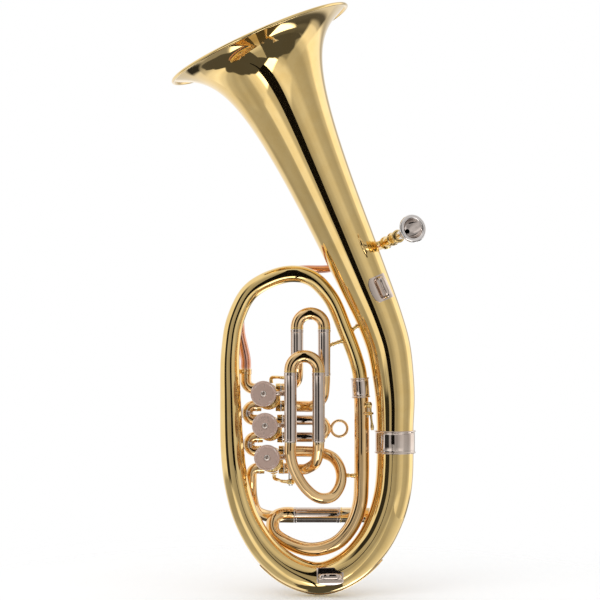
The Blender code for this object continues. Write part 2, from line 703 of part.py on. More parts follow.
pipe("slide_1_right_branch", thin(blend([
    (SLIDE_1_X[1], SLIDE_1_Y, SLIDE_1_LOW[1] - SEAM, 6.4),
    (SLIDE_1_X[1], SLIDE_1_Y, SLIDE_1_LOW[1] - 8, 6.2),
    (SLIDE_1_X[1] - 2.0, -14.0, 47.0, 6.0), (SLIDE_1_X[1] - 10, -7.0, 38.5, 5.9),
    (-97.0, 6.0, low_port.z, PORT_R), (low_port.x + PORT_RUN, VALVE_PLANE, low_port.z, PORT_R),
    (low_port.x + PORT_RUN / 2, VALVE_PLANE, low_port.z, PORT_R),
    (*low_port, PORT_R)]), end_run=12), BRASS)

# The second valve's slide is short and draws to the right by its ring
slide_2_legs = []
for side, rise in (("upper", 1), ("lower", -1)):
    closed = port(1, 1, rise)
    mouth = Vector((SLIDE_2_END_X, closed.y, closed.z))
    make_sleeve(f"slide_2_sleeve_{side}", closed, mouth, SMALL_SLEEVE_R)
    slide_2_legs.append((closed + Vector((LEG_SHORT, 0, 0)), mouth))
slide_2 = make_crook("slide_2_crook", slide_2_legs[0], slide_2_legs[1], CROOK_RUN - 0.6,
                     SMALL_CROOK_R, SMALL_INNER_R)
ring_x = SLIDE_2_END_X + SEAM + CROOK_RUN - 0.6 + PORT_RISE + SMALL_CROOK_R + SLIDE_2_RING_R + 0.4
ring_centre = Vector((ring_x, VALVE_PLANE, valve_centre(1).z))
bpy.ops.mesh.primitive_torus_add(
    location=ring_centre * MM, rotation=(math.radians(90), 0, 0), major_segments=14,
    minor_segments=6, major_radius=SLIDE_2_RING_R * MM, minor_radius=SLIDE_2_RING_WIRE * MM)
pull_ring = settle("pull_ring", bpy.context.object, NICKEL, cutters)
ring_foot = rod("pull_ring_foot", ring_centre - Vector((SLIDE_2_RING_R + 2.6, 0, 0)),
                ring_centre - Vector((SLIDE_2_RING_R - 0.6, 0, 0)), 1.8, NICKEL, 8)
combine(slide_2, ring_foot, "UNION")
combine(slide_2, pull_ring, "UNION")

# The third valve's slide is in front and draws upward; its left leg runs on into a loop
slide_3_legs = []
for side, x in zip(("left", "right"), SLIDE_3_X):
    closed = Vector((x, SLIDE_3_Y, SLIDE_3_Z[0]))
    mouth = Vector((x, SLIDE_3_Y, SLIDE_3_Z[1]))
    make_sleeve(f"slide_3_sleeve_{side}", closed, mouth, SLEEVE_R)
    slide_3_legs.append((closed + Vector((0, 0, LEG_SHORT)), mouth))
make_crook("slide_3_crook", slide_3_legs[0], slide_3_legs[1], CROOK_RUN, CROOK_R, INNER_R)
loop_port = port(2, 1, 1)
right_port = port(2, 1, -1)
loop_knots = [
    (SLIDE_3_X[0], SLIDE_3_Y, SLIDE_3_Z[0] - SEAM, 6.2),
    (SLIDE_3_X[0], SLIDE_3_Y, -12.0, 6.0), (-105.0, -30.5, -28.0, 5.8),
    (-93.5, -28.0, -46.5, 5.7), (-80.0, -25.0, -56.5, 5.7), (-66.5, -21.0, -55.5, 5.7),
    (-57.8, -16.0, -43.5, 5.7), (-57.6, -9.0, -28.5, 5.7), (-65.0, -2.0, -17.0, 5.7),
    (-78.0, 5.0, loop_port.z - 0.8, 5.7), (-94.0, 12.0, loop_port.z, 5.7),
    (-108.0, VALVE_PLANE, loop_port.z, PORT_R), (*loop_port, PORT_R),
]
loop_line = thin(blend(loop_knots), end_run=12)
pipe("slide_3_loop", loop_line, BRASS)
pipe("slide_3_right_branch", thin(blend([
    (SLIDE_3_X[1], SLIDE_3_Y, SLIDE_3_Z[0] - SEAM, 6.2),
    (SLIDE_3_X[1], SLIDE_3_Y, SLIDE_3_Z[0] - 4.0, 6.1), (SLIDE_3_X[1] - 0.6, -30.0, -9.0, 6.0),
    (-83.5, -25.0, -19.5, 5.8), (-92.0, -13.5, -27.0, 5.7), (-101.0, 1.0, -29.2, 5.7),
    (right_port.x + PORT_RUN, VALVE_PLANE, right_port.z, 5.7),
    (right_port.x + PORT_RUN / 2, VALVE_PLANE, right_port.z, 5.7), (*right_port, PORT_R)]),
    end_run=12), BRASS)


# The levers: a touchpiece on an arm, a hub on the axle, and a tail that pulls the link rod

TAIL_LENGTH = STOP_R * math.sin(REST_TILT) / math.sin(math.radians(LEVER_SWING / 2))
TAIL_RISE = STOP_R * (1 + math.cos(REST_TILT)) / 2 - LEVER_RISE
FORK_GAP = 1.9        # the link's eye may rise and fall this far in the fork, each way
FORK_THICK = 1.3
EYE_THICK = 2.0
EYE_R = 2.9
HUB_MARGIN = 1.0      # the hub reaches past the fork's prongs
AXLE_TOP = VALVE_TOP[1] + 26.0
AXLE_BOTTOM = VALVE_TOP[1] - 2 * VALVE_PITCH - 26.7
BRACKET_TOP = AXLE_TOP - 4.0
BRACKET_BOTTOM = AXLE_BOTTOM + 6.7    # the axle's screwed end hangs lower than its bracket
FORK_REACH = FORK_GAP + EYE_THICK / 2 + FORK_THICK
HUB_HIGH = TAIL_RISE + FORK_REACH + HUB_MARGIN
HUB_LOW = TAIL_RISE - FORK_REACH - 3 * HUB_MARGIN


def axle_point(height):
    """A point on the levers' axle."""
    return Vector((AXLE_X, AXLE_Y, height))


def lever_level(index):
    """The height of a lever's arm and touchpiece."""
    return valve_centre(index).z + LEVER_RISE


def tail_end(height):
    """The centre of a lever's tail pin at rest."""
    swing = math.radians(LEVER_SWING / 2)
    return axle_point(height) + TAIL_LENGTH * Vector((-math.sin(swing), math.cos(swing), 0))


def make_lever(index):
    """Hub, arm and forked tail in one piece, turning on the axle."""
    level = lever_level(index)
    hub = turned(f"lever_{index + 1}", [(HUB_R, HUB_HIGH), (HUB_R, HUB_LOW), (0, HUB_LOW),
                                        (0, HUB_HIGH)], NICKEL, 12, axle_point(level))
    touch = Vector((AXLE_X - TOUCH_REACH[index], TOUCH_Y + TOUCH_THICK + SEAM, level))
    knee = Vector((AXLE_X - 8.0, AXLE_Y - 3.0, level))
    arm = pipe(f"lever_arm_{index}", [
        (axle_point(level), 3.2), (knee, 2.9),
        (Vector((AXLE_X - 12.5, touch.y + 2.6, level)), 2.6),
        (touch + Vector((-4.0, 2.6, 0)), 2.2)], NICKEL, PIN_SIDES, None)
    combine(hub, arm, "UNION")
    post = drum(f"touch_post_{index}", touch, 2.6, touch.y, touch.y + 2.4, NICKEL, 8)
    combine(hub, post, "UNION")
    end = tail_end(level)
    for rise in (-1, 1):
        height = TAIL_RISE + rise * (FORK_GAP + EYE_THICK / 2 + FORK_THICK / 2)
        start = axle_point(level + height)
        finish_at = Vector((end.x, end.y, level + height))
        prong = rod(f"prong_{index}_{rise}", start, finish_at, FORK_THICK / 2 * 1.3, NICKEL)
        prong_eye = turned(f"prong_eye_{index}_{rise}",
                           [(2.2, FORK_THICK / 2), (2.2, -FORK_THICK / 2),
                            (0, -FORK_THICK / 2), (0, FORK_THICK / 2)], NICKEL, 8, finish_at)
        combine(hub, prong, "UNION")
        combine(hub, prong_eye, "UNION")
    span = FORK_GAP + EYE_THICK / 2 + FORK_THICK / 2
    pin = rod(f"tail_pin_{index}", end + Vector((0, 0, TAIL_RISE - span)),
              end + Vector((0, 0, TAIL_RISE + span)), LINK_PIN_R, STEEL)
    combine(hub, pin, "UNION")
    bore = rod(f"hub_bore_{index}", axle_point(level + HUB_LOW - 3),
               axle_point(level + HUB_HIGH + 3), clear_of(AXLE_R, 8), NICKEL, 8)
    combine(hub, bore, "DIFFERENCE")
    return settle(f"lever_{index + 1}", hub, NICKEL)


def make_touchpiece(index):
    """A round touchpiece: a turned plate with a rim line and a dimpled middle."""
    level = lever_level(index)
    back = TOUCH_Y + TOUCH_THICK
    r = TOUCH_R
    profile = [(0, 1.5), (2.2, 1.7), (3.2, TOUCH_THICK), (4.2, TOUCH_THICK - 0.4)]
    profile += [(r - 2.6, TOUCH_THICK - 0.9), (r - 2.0, TOUCH_THICK - 0.5)]
    profile += [(r - 0.8, TOUCH_THICK - 0.6), (r, TOUCH_THICK - 1.4), (r - 0.6, 0), (0, 0)]
    turned(f"touchpiece_{index + 1}", profile, NICKEL, 18,
           (AXLE_X - TOUCH_REACH[index], back, level), (0, -1, 0))


def make_link(index):
    """A link rod: an eye round the stop arm's pin, and a flat eye in the lever's fork."""
    middle = valve_centre(index)
    pin_at = middle + PIN_AT_REST
    level = pin_at.z
    end = tail_end(middle.z)
    link = drum(f"link_rod_{index + 1}", pin_at, EYE_R, LINK_FRONT, LINK_BACK, NICKEL, 10)
    near = Vector((pin_at.x + 1.8, LINK_MIDDLE, level))
    bar = pipe(f"link_bar_{index}", straight(near, (end.x - 1.9, end.y, level), 0.9),
               STEEL, 8, None)
    combine(link, bar, "UNION")
    eye = turned(f"link_eye_{index}", [(EYE_R, EYE_THICK / 2), (EYE_R, -EYE_THICK / 2),
                                       (0, -EYE_THICK / 2), (0, EYE_THICK / 2)], NICKEL, 10,
                 (end.x, end.y, level))
    combine(link, eye, "UNION")
    hole = drum(f"link_hole_{index}", pin_at, clear_of(LINK_PIN_R, PIN_SIDES), LINK_FRONT - 1,
                LINK_BACK + 1, NICKEL, PIN_SIDES)
    combine(link, hole, "DIFFERENCE")
    slack = rod(f"link_slack_{index}", (end.x, end.y, level - 3), (end.x, end.y, level + 3),
                LINK_PIN_R + 0.9, NICKEL, SMALL_SIDES)
    combine(link, slack, "DIFFERENCE")
    return settle(f"link_rod_{index + 1}", link, NICKEL)


for valve in range(3):
    make_lever(valve)
    make_touchpiece(valve)
    make_link(valve)

# The axle that the three levers turn on, and the brackets that hold it to the end valves
rod("lever_axle", axle_point(AXLE_BOTTOM), axle_point(AXLE_TOP), AXLE_R, STEEL, TURNED_SIDES)


def make_bracket(name, index, height, side):
    """A post from a casing's front edge to an eye round the axle."""
    middle = valve_centre(index)
    eye = turned(name, [(HUB_R, 2.2), (HUB_R, -2.2), (0, -2.2), (0, 2.2)], BRASS, 10,
                 axle_point(height))
    foot = Vector((middle.x + 3.0, CASING_FRONT + 4.0, middle.z + side * (CASING_R + 2.6)))
    post = pipe(f"{name}_post", [
        (axle_point(height) + Vector((-2.6, 0, 0)), 1.9),
        (Vector((AXLE_X - 8, AXLE_Y + 4, height)), 1.7),
        (Vector((foot.x + 5, foot.y - 8, height)), 1.7),
        (Vector((foot.x, foot.y, height - side * 1.5)), 1.9), (foot, 2.1)], BRASS, PIN_SIDES, None)
    combine(eye, post, "UNION")
    bore = rod(f"{name}_bore", axle_point(height - 4), axle_point(height + 4),
               clear_of(AXLE_R, 8), BRASS, 8)
    combine(eye, bore, "DIFFERENCE")
    return settle(name, eye, BRASS)


make_bracket("axle_bracket_top", 0, BRACKET_TOP, 1)
make_bracket("axle_bracket_bottom", 2, BRACKET_BOTTOM, -1)

# The mouthpiece: rim, cup, throat, backbore and shank, turned in one piece
shank_start = 24.0
mouth_profile = [
    (MOUTH_CUP_R, -0.6), (MOUTH_CUP_R + 1.4, 0.0), (MOUTH_RIM_R - 1.2, 0.0),
    (MOUTH_RIM_R, -1.6), (MOUTH_RIM_R - 0.8, -4.2), (MOUTH_RIM_R - 3.2, -6.4),
    (MOUTH_RIM_R - 3.9, -11.0), (7.6, -16.0), (5.6, -20.5), (5.2, -shank_start),
    (SHANK_R, -RECEIVER_START), (SHANK_TIP_R, -MOUTH_LENGTH),
    (SHANK_TIP_R - SHANK_WALL, -MOUTH_LENGTH), (MOUTH_THROAT_R, -MOUTH_CUP_DEPTH - 5),
    (MOUTH_THROAT_R + 0.2, -MOUTH_CUP_DEPTH), (6.4, -MOUTH_CUP_DEPTH + 5.5),
]
turned("mouthpiece", mouth_profile, NICKEL, 18, mouth_rim, -mouth_axis)

# The receiver: a tapered socket with turned collars, which takes the shank
socket_r = clear_of(SHANK_R, 12)
socket_tip_r = clear_of(SHANK_TIP_R, 12)
receiver_profile = [
    (socket_r, -RECEIVER_START), (RECEIVER_R + 0.8, -RECEIVER_START),
    (RECEIVER_R + 1.3, -RECEIVER_START - 1.6), (RECEIVER_R + 0.8, -RECEIVER_START - 3.2),
    (RECEIVER_R, -RECEIVER_START - 4.0), (RECEIVER_R - 0.3, -RECEIVER_START - 13.0),
    (RECEIVER_R + 0.5, -RECEIVER_START - 14.0), (RECEIVER_R + 0.5, -RECEIVER_START - 16.0),
    (RECEIVER_R - 0.4, -RECEIVER_START - 17.0), (RECEIVER_R - 1.0, -RECEIVER_START - 32.0),
    (RECEIVER_R - 0.2, -RECEIVER_START - 33.0), (RECEIVER_R - 0.2, -RECEIVER_START - 36.0),
    (LEADPIPE_R[0] + 1.2, -RECEIVER_START - 38.0), (LEADPIPE_R[0] + 0.7, -RECEIVER_END),
    (LEADPIPE_R[0] - WALL, -RECEIVER_END), (LEADPIPE_R[0] - WALL, -MOUTH_LENGTH - 1.0),
    (socket_tip_r, -MOUTH_LENGTH - 1.0),
]
turned("mouthpiece_receiver", receiver_profile, BRASS, 12, mouth_rim, -mouth_axis)

# Braces between the tubes, each soldered at both ends
UPWARD = Vector((0, 0, 1))
bell_place = closest(bell_line, (-14.0, 0, 122.0))
brace("bell_brace", closest(bow_line, (-55.0, 0, 118.0)), bell_place, 2.2, BRASS)

sleeve_place = (Vector((SLIDE_1_X[1], SLIDE_1_Y, 101.0)), SLEEVE_R, UPWARD)
brace("slide_brace", sleeve_place, closest(bow_line, (-50.0, 0, 106.0)), 1.9, BRASS)

brace("loop_brace", closest(loop_line, (-57.6, -12.0, -34.0)),
      closest(return_line, (-35.0, 0, -36.0)), 2.2, BRASS)

ferrule_place = (Vector((INLET_X, VALVE_PLANE, INLET_TOP - 2.5)), PORT_R + 0.6, UPWARD)
brace("leadpipe_brace", closest(bow_line, (-172.7, 0, 73.0)), ferrule_place, 2.0, BRASS, 2.2)

# The receiver's brace: from the receiver's last collar to the bell, with a diamond flange
receiver_place = (along_mouth(RECEIVER_START + 34.5), RECEIVER_R - 0.2, mouth_axis)
bell_side = closest(bell_line, (-50.0, 0, 208.0))
# The bell widens along its axis here, so the foot stands a little further out than on a plain tube
bell_side = (bell_side[0], bell_side[1] + FLARE_STAND_OFF, bell_side[2])
brace("receiver_brace", receiver_place, bell_side, 2.4, BRASS,
      3.0)


def surface_patch(name, line, middle, size, facing, material, sides):
    """A plate that hugs a tube: a stretch of a larger tube, cut to a width and an outline."""
    over = [(point, clear_of(radius, sides) + PLATE_THICK) for point, radius in line]
    skin = pipe(f"{name}_skin", over, material, sides, PLATE_THICK)
    along = middle[2].normalized()
    out = Vector(facing).normalized()
    side = along.cross(out)
    bpy.ops.mesh.primitive_cube_add(size=1)
    box = bpy.context.object
    frame = Matrix((side, along, out)).transposed().to_4x4()
    centre = middle[0] + out * middle[1]
    grow = Matrix.Diagonal((size[0] * MM, size[1] * MM, 14 * MM, 1))
    box.data.transform(Matrix.Translation(centre * MM) @ frame @ grow)
    box = settle(f"{name}_outline", box, material)
    combine(skin, box, "INTERSECT")
    return settle(name, skin, material), centre, along, out


def strap_fitting(name, line, middle, size, facing, sides):
    """A nickel plate on a tube with a raised bar along it that a strap's hook takes."""
    plate, centre, along, out = surface_patch(name, line, middle, size, facing, NICKEL, sides)
    half = size[1] / 2 - 3.0
    foot = SEAM + 0.4
    rise = STRAP_BAR_RISE
    shoulder = rise - 2.2
    bar = pipe(f"{name}_bar", [(centre + along * run + out * lift, STRAP_BAR_R) for run, lift in (
        (-half, foot), (0.6 - half, shoulder), (3.0 - half, rise), (half - 3.0, rise),
        (half - 0.6, shoulder), (half, foot))], NICKEL, PIN_SIDES, None)
    combine(plate, bar, "UNION")
    return settle(name, plate, NICKEL)


# The strap fittings: one low on the bell, in front, and one under the big bow
strap_fitting("bell_strap_fitting", [k for k in bell_line if 95.0 < k[0].z < 225.0],
              closest(bell_line, (-22.0, 0, 154.0)), (24.0, 27.0), (0.25, -1, 0.11), BELL_SIDES)
strap_fitting("bow_strap_fitting", [k for k in bow_line if -150 < k[0].x < -15 and k[0].z < -60],
              closest(bow_line, (-67.5, 0, -141.0)), (19.0, 28.0), (0.0, -1, 0.12), BIG_SIDES)

# The guard: a strip along the outside of the big bow's bottom
guard_route = thin([k for k in bow_route if k[0].z < -108], 9.0, 30.0)
guard_skin = pipe("guard_skin", grown(guard_route, SEAM + GUARD_STAND_OFF + GUARD_THICK), BRASS,
                  BELL_SIDES, GUARD_THICK)
outside = []
for before, (point, radius), after in zip(guard_route, guard_route[1:], guard_route[2:]):
    outward = (after[0] - before[0]).cross(Vector((0, 1, 0))).normalized()
    outward = outward if outward.dot(point - Vector(BOW_MIDDLE)) > 0 else -outward
    outside.append((point + outward * radius, GUARD_HALF))
guard_outline = pipe("guard_outline", outside, BRASS, SMALL_SIDES, None)
combine(guard_skin, guard_outline, "INTERSECT")
settle("bow_guard", guard_skin, BRASS)

# The water key: a spout, and a rocker with a cork pad that a spring holds shut
key_place = closest(return_line, (-35.0, 0, KEY_LEVEL))
key_out = Vector((0.72, -0.69, 0)).normalized()
key_axis = key_out.cross(UPWARD)
spout_root = key_place[0] + key_out * (key_place[1] + SEAM)
spout_top = spout_root + key_out * SPOUT_HEIGHT + UPWARD * KEY_ARM
spout_base = spout_root + UPWARD * KEY_ARM
spout = rod("water_key_seat", spout_base + key_out * 0.2, spout_top, SPOUT_R, BRASS, 10)
saddle = rod("key_saddle", spout_root + key_out * 1.3 - UPWARD * 4.3,
             spout_root + key_out * 1.3 + UPWARD * (KEY_ARM - 2.1), 1.15, BRASS)
combine(spout, saddle, "UNION")
pivot = spout_root + key_out * KEY_PIVOT_HEIGHT
for side in (-1, 1):
    ear = rod(f"key_ear_{side}", spout_root + key_out * 0.5 + key_axis * side * 2.9,
              pivot + key_axis * side * 2.9 + key_out * 1.6, 1.25, BRASS)
    bridge = rod(f"key_bridge_{side}", spout_root + key_out * 1.35,
                 spout_root + key_out * 1.35 + key_axis * side * 3.1, 0.8, BRASS)
    combine(spout, bridge, "UNION")
    combine(spout, ear, "UNION")
hinge_pin = rod("key_hinge_pin", pivot - key_axis * 3.6, pivot + key_axis * 3.6, 0.8, STEEL)
combine(spout, hinge_pin, "UNION")
drain = rod("key_drain", spout_base - key_out * 1, spout_top + key_out, 1.6, BRASS)
combine(spout, drain, "DIFFERENCE")
settle("water_key_seat", spout, BRASS)

rocker = rod("water_key", pivot - key_axis * 1.3, pivot + key_axis * 1.3, 2.1, BRASS, 10)
pad_under = spout_top + key_out * (SEAM + 0.1)
pad = rod("key_pad", pad_under, pad_under + key_out * 1.9, SPOUT_R + 0.5, CORK, 10)
combine(rocker, pad, "UNION")
key_bar = pipe("key_bar", [
    (pad_under + key_out * 1.2, 1.5), (pivot + key_out * 0.9, 1.2),
    (pivot + key_out * 2.2 - UPWARD * 9.0, 1.2), (pivot + key_out * 3.0 - UPWARD * 14.0, 1.9),
    (pivot + key_out * 3.2 - UPWARD * 17.5, 1.3)], BRASS, PIN_SIDES, None)
combine(rocker, key_bar, "UNION")
key_bore = rod("key_bore", pivot - key_axis * 4, pivot + key_axis * 4, clear_of(0.8, PIN_SIDES), BRASS)
combine(rocker, key_bore, "DIFFERENCE")
settle("water_key", rocker, BRASS)


def set_pivot(name, point):
    """Moves a piece's origin to a point on its joint's axis and leaves the piece in its place."""
    thing = bpy.data.objects[name]
    thing.data.transform(Matrix.Translation(-point * MM))
    thing.location = point * MM


# Every piece that turns has its origin on its joint's axis
for valve in range(3):
    middle = valve_centre(valve)
    set_pivot(f"lever_{valve + 1}", axle_point(lever_level(valve)))
    set_pivot(f"touchpiece_{valve + 1}", axle_point(lever_level(valve)))
    set_pivot(f"rotor_{valve + 1}", middle)
    set_pivot(f"link_rod_{valve + 1}", middle + PIN_AT_REST)
set_pivot("water_key", pivot)
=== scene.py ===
"""The looks of an oval alto horn: lacquered brass, nickel silver and a gold-brass leadpipe.

The horn's sizes are in millimetres, as in its maker's drawing, and MM turns them into metres.
The studio's are in metres.
"""

import math

import bpy
from mathutils import Matrix, Vector


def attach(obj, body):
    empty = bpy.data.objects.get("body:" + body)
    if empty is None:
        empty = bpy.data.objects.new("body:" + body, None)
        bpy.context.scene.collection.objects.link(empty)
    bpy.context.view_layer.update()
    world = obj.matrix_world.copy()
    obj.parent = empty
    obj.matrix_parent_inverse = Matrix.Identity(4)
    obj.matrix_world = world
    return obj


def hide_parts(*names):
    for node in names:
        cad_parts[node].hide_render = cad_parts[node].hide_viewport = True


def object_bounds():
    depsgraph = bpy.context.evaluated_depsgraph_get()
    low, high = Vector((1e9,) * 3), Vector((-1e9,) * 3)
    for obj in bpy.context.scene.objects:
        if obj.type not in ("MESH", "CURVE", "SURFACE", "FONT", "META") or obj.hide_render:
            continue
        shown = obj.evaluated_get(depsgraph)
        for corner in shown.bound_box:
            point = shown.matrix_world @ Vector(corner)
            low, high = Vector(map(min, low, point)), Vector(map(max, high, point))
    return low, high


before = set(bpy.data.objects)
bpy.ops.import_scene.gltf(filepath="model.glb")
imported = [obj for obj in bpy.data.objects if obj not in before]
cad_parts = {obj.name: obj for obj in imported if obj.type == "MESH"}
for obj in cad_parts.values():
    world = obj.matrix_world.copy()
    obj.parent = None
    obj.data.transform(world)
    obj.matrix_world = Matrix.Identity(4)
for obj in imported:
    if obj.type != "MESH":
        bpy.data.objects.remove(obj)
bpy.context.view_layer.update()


# The bell: one sheet of brass, wrapped and seamed into a long cone, spun out to the flare on a
# mandrel and bent at its foot. It is polished to a mirror, then clear lacquered.

def add_group(name, inputs, outputs):
    """An empty shader node group with named sockets; each input is (name, value)."""
    group = bpy.data.node_groups.new(name, "ShaderNodeTree")
    for label, value in inputs:
        socket = group.interface.new_socket(label, in_out="INPUT", socket_type="NodeSocketFloat")
        socket.default_value = value
    for label, kind in outputs:
        group.interface.new_socket(label, in_out="OUTPUT", socket_type=kind)
    return group, group.nodes.new("NodeGroupInput"), group.nodes.new("NodeGroupOutput")


def add_node(tree, kind, links=(), **settings):
    """A node with its settings; each link is (input, where it comes from or a value)."""
    node = tree.nodes.new(kind)
    for key, value in settings.items():
        setattr(node, key, value)
    for label, source in links:
        if isinstance(source, bpy.types.NodeSocket):
            tree.links.new(source, node.inputs[label])
        else:
            node.inputs[label].default_value = source
    return node


def blend(tree, share, low, high):
    """The colour between two others, each given as three numbers or as a socket."""
    low, high = ((*end, 1) if isinstance(end, tuple) else end for end in (low, high))
    return add_node(tree, "ShaderNodeMix", [(0, share), (6, low), (7, high)],
                    data_type="RGBA").outputs[2]


def map_range(tree, value, low, high, bottom=0.0, top=1.0, **settings):
    """A value between two limits, stretched so that it runs from bottom to top."""
    return add_node(tree, "ShaderNodeMapRange", [
        ("Value", value), ("From Min", low), ("From Max", high), ("To Min", bottom),
        ("To Max", top)], **settings).outputs[0]


def make_polish_group():
    """Buffing marks and finger smudges: a tone mask, a roughness mask and a height."""
    group, given, out = add_group(
        "buffed_metal", [("Smudge Size", 60.0), ("Hairline Size", 1400.0)],
        [("Tone", "NodeSocketFloat"), ("Haze", "NodeSocketFloat"), ("Height", "NodeSocketFloat")])
    place = add_node(group, "ShaderNodeTexCoord").outputs["Object"]
    smudge = add_node(group, "ShaderNodeTexNoise", [
        ("Vector", place), ("Scale", given.outputs["Smudge Size"]), ("Detail", 4.0),
        ("Roughness", 0.6)]).outputs["Fac"]
    hairs = add_node(group, "ShaderNodeTexNoise", [
        ("Vector", place), ("Scale", given.outputs["Hairline Size"]), ("Detail", 2.0),
        ("Distortion", 1.5)]).outputs["Fac"]
    haze = add_node(group, "ShaderNodeMath", [(0, hairs), (1, smudge)], operation="MULTIPLY")
    wave = add_node(group, "ShaderNodeTexNoise", [
        ("Vector", place), ("Scale", 18.0), ("Detail", 1.0), ("Roughness", 0.4)])
    group.links.new(map_range(group, smudge, 0.35, 0.7), out.inputs["Tone"])
    group.links.new(haze.outputs[0], out.inputs["Haze"])
    group.links.new(wave.outputs["Fac"], out.inputs["Height"])
    return group


def make_edge_group():
    """Where an edge stands proud: a mask that is 1 on the worn edge and 0 on the flat."""
    group, _, out = add_group("worn_edges", [], [("Edge", "NodeSocketFloat")])
    bend = add_node(group, "ShaderNodeNewGeometry").outputs["Pointiness"]
    group.links.new(map_range(group, bend, 0.53, 0.60), out.inputs["Edge"])
    return group


polish_group = make_polish_group()
edge_group = make_edge_group()


def new_material(name):
    """A new material, with its node tree and its shader."""
    material = bpy.data.materials.new(name)
    material.use_nodes = True
    return material, material.node_tree, material.node_tree.nodes["Principled BSDF"]


def make_metal(name, colour, deep, worn, roughness, coat, smudge=60.0):
    """Polished metal: its colour, a deeper tone in the smudges and a paler one on worn edges."""
    material, tree, shader = new_material(name)
    polish = add_node(tree, "ShaderNodeGroup", [("Smudge Size", smudge)], node_tree=polish_group)
    edges = add_node(tree, "ShaderNodeGroup", node_tree=edge_group)
    toned = blend(tree, polish.outputs["Tone"], colour, deep)
    rough = map_range(tree, polish.outputs["Haze"], 0.1, 0.45, roughness * 0.8, roughness * 1.5)
    bump = add_node(tree, "ShaderNodeBump", [
        ("Height", polish.outputs["Height"]), ("Strength", 0.018), ("Distance", 0.01)])
    tree.links.new(blend(tree, edges.outputs["Edge"], toned, worn), shader.inputs["Base Color"])
    tree.links.new(rough, shader.inputs["Roughness"])
    tree.links.new(bump.outputs["Normal"], shader.inputs["Normal"])
    shader.inputs["Metallic"].default_value = 1.0
    shader.inputs["Coat Weight"].default_value = coat
    shader.inputs["Coat Roughness"].default_value = 0.04
    return material


lacquered_brass = make_metal(
    "lacquered_brass_polish", (0.91, 0.665, 0.285), (0.87, 0.61, 0.235),
    (0.96, 0.80, 0.50), roughness=0.035, coat=0.18)


KNOT_STEPS = 20          # points on the curve from one knot to the next
SMOOTHING = (0.5, -0.53)   # each round pulls the points together, then lets the bends out again


def smooth_route(knots, step=2.5, rounds=30):
    """An even, smooth route through knots of (x, y, z, radius), as (point, radius) pairs."""
    points = [Vector(k) for k in knots]
    points = [2 * points[0] - points[1]] + points + [2 * points[-1] - points[-2]]
    fine = []
    for a, b, c, d in zip(points, points[1:], points[2:], points[3:]):
        t1 = max((b - a).xyz.length, 1e-6) ** 0.5
        t2 = t1 + max((c - b).xyz.length, 1e-6) ** 0.5
        t3 = t2 + max((d - c).xyz.length, 1e-6) ** 0.5
        for k in range(KNOT_STEPS):
            t = t1 + (t2 - t1) * k / KNOT_STEPS
            ab = a.lerp(b, t / t1)
            bc = b.lerp(c, (t - t1) / (t2 - t1))
            cd = c.lerp(d, (t - t2) / (t3 - t2))
            abc, bcd = ab.lerp(bc, t / t2), bc.lerp(cd, (t - t1) / (t3 - t1))
            fine.append(abc.lerp(bcd, (t - t1) / (t2 - t1)))
    fine.append(points[-2])
    run = [0.0]
    for a, b in zip(fine, fine[1:]):
        run.append(run[-1] + (b - a).xyz.length)
    count = max(int(run[-1] / step), 4)
    even = []
    at = 0
    for k in range(count + 1):
        goal = run[-1] * k / count
        while at < len(run) - 2 and run[at + 1] < goal:
            at += 1
        share = (goal - run[at]) / max(run[at + 1] - run[at], 1e-9)
        even.append(fine[at].lerp(fine[at + 1], share))
    for _ in range(rounds):
        for weight in SMOOTHING:
            held = list(even)
            for i in range(2, len(even) - 2):
                even[i] = held[i] + weight * ((held[i - 1] + held[i + 1]) / 2 - held[i])
    return [(Vector(p[:3]), p[3]) for p in even]


MM = 0.001
WALL = 0.7
SMOOTH_ANGLE = math.radians(40)


def apply_modifier(piece, name, kind, **settings):
    """Gives the active piece one modifier and makes its shape final."""
    modifier = piece.modifiers.new(name, kind)
    for key, value in settings.items():
        setattr(modifier, key, value)
    bpy.ops.object.modifier_apply(modifier=modifier.name)


def draw_tube(name, route, wall=WALL, sides=48):
    """A tube drawn over a route of (point, radius); wall None makes a solid bar."""
    bpy.ops.object.select_all(action="DESELECT")
    bpy.ops.curve.primitive_nurbs_path_add(location=(0, 0, 0))
    tube = bpy.context.object
    tube.name = name
    tube.data.splines.clear()
    line = tube.data.splines.new("POLY")
    line.points.add(len(route) - 1)
    for spot, (point, radius) in zip(line.points, route):
        spot.co = (*(point * MM), 1.0)
        spot.radius = radius
    tube.data.bevel_depth = MM
    tube.data.bevel_resolution = sides // 2 - 2
    tube.data.use_fill_caps = wall is None
    bpy.ops.object.convert(target="MESH")
    tube = bpy.context.object
    if wall is not None:
        apply_modifier(tube, "wall", "SOLIDIFY", thickness=wall * MM, offset=-1.0,
                       use_even_offset=True)
    bpy.ops.object.shade_smooth_by_angle(angle=SMOOTH_ANGLE)
    return tube


def fit(piece, material, body, *nodes):
    """Finishes a piece, hangs it on its body and puts it in the place of its CAD nodes."""
    piece.data.materials.clear()
    piece.data.materials.append(material)
    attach(piece, body)
    if nodes:
        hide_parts(*nodes)


BELL_MOUTH = Vector((-142.0, 0.0, 417.1))
BELL_AXIS = Vector((-0.4027, 0.0, 0.9153)).normalized()
BELL_MOUTH_R = 97.3
CURL = 13.0     # how tightly the flare opens: its last turn is this long
NARROWING = 0.414
FLARE_STEPS = 72
stem_knots = [
    (0, 0, 0.2, 19.4), (0, 0, 14, 19.4), (0, 0, 43.6, 20.7), (-1.6, 0, 64.6, 21.6),
    (-6.8, 0, 99.2, 23.0), (-15.8, 0, 127.6, 24.2), (-33.6, 0, 170.4, 26.7),
    (-51.4, 0, 211.1, 29.2)]
stem_route = smooth_route(stem_knots)


def flare_radius(distance):
    """The flare's radius at a distance from its mouth: a Bessel horn's curve."""
    return BELL_MOUTH_R * (CURL / (distance + CURL)) ** NARROWING


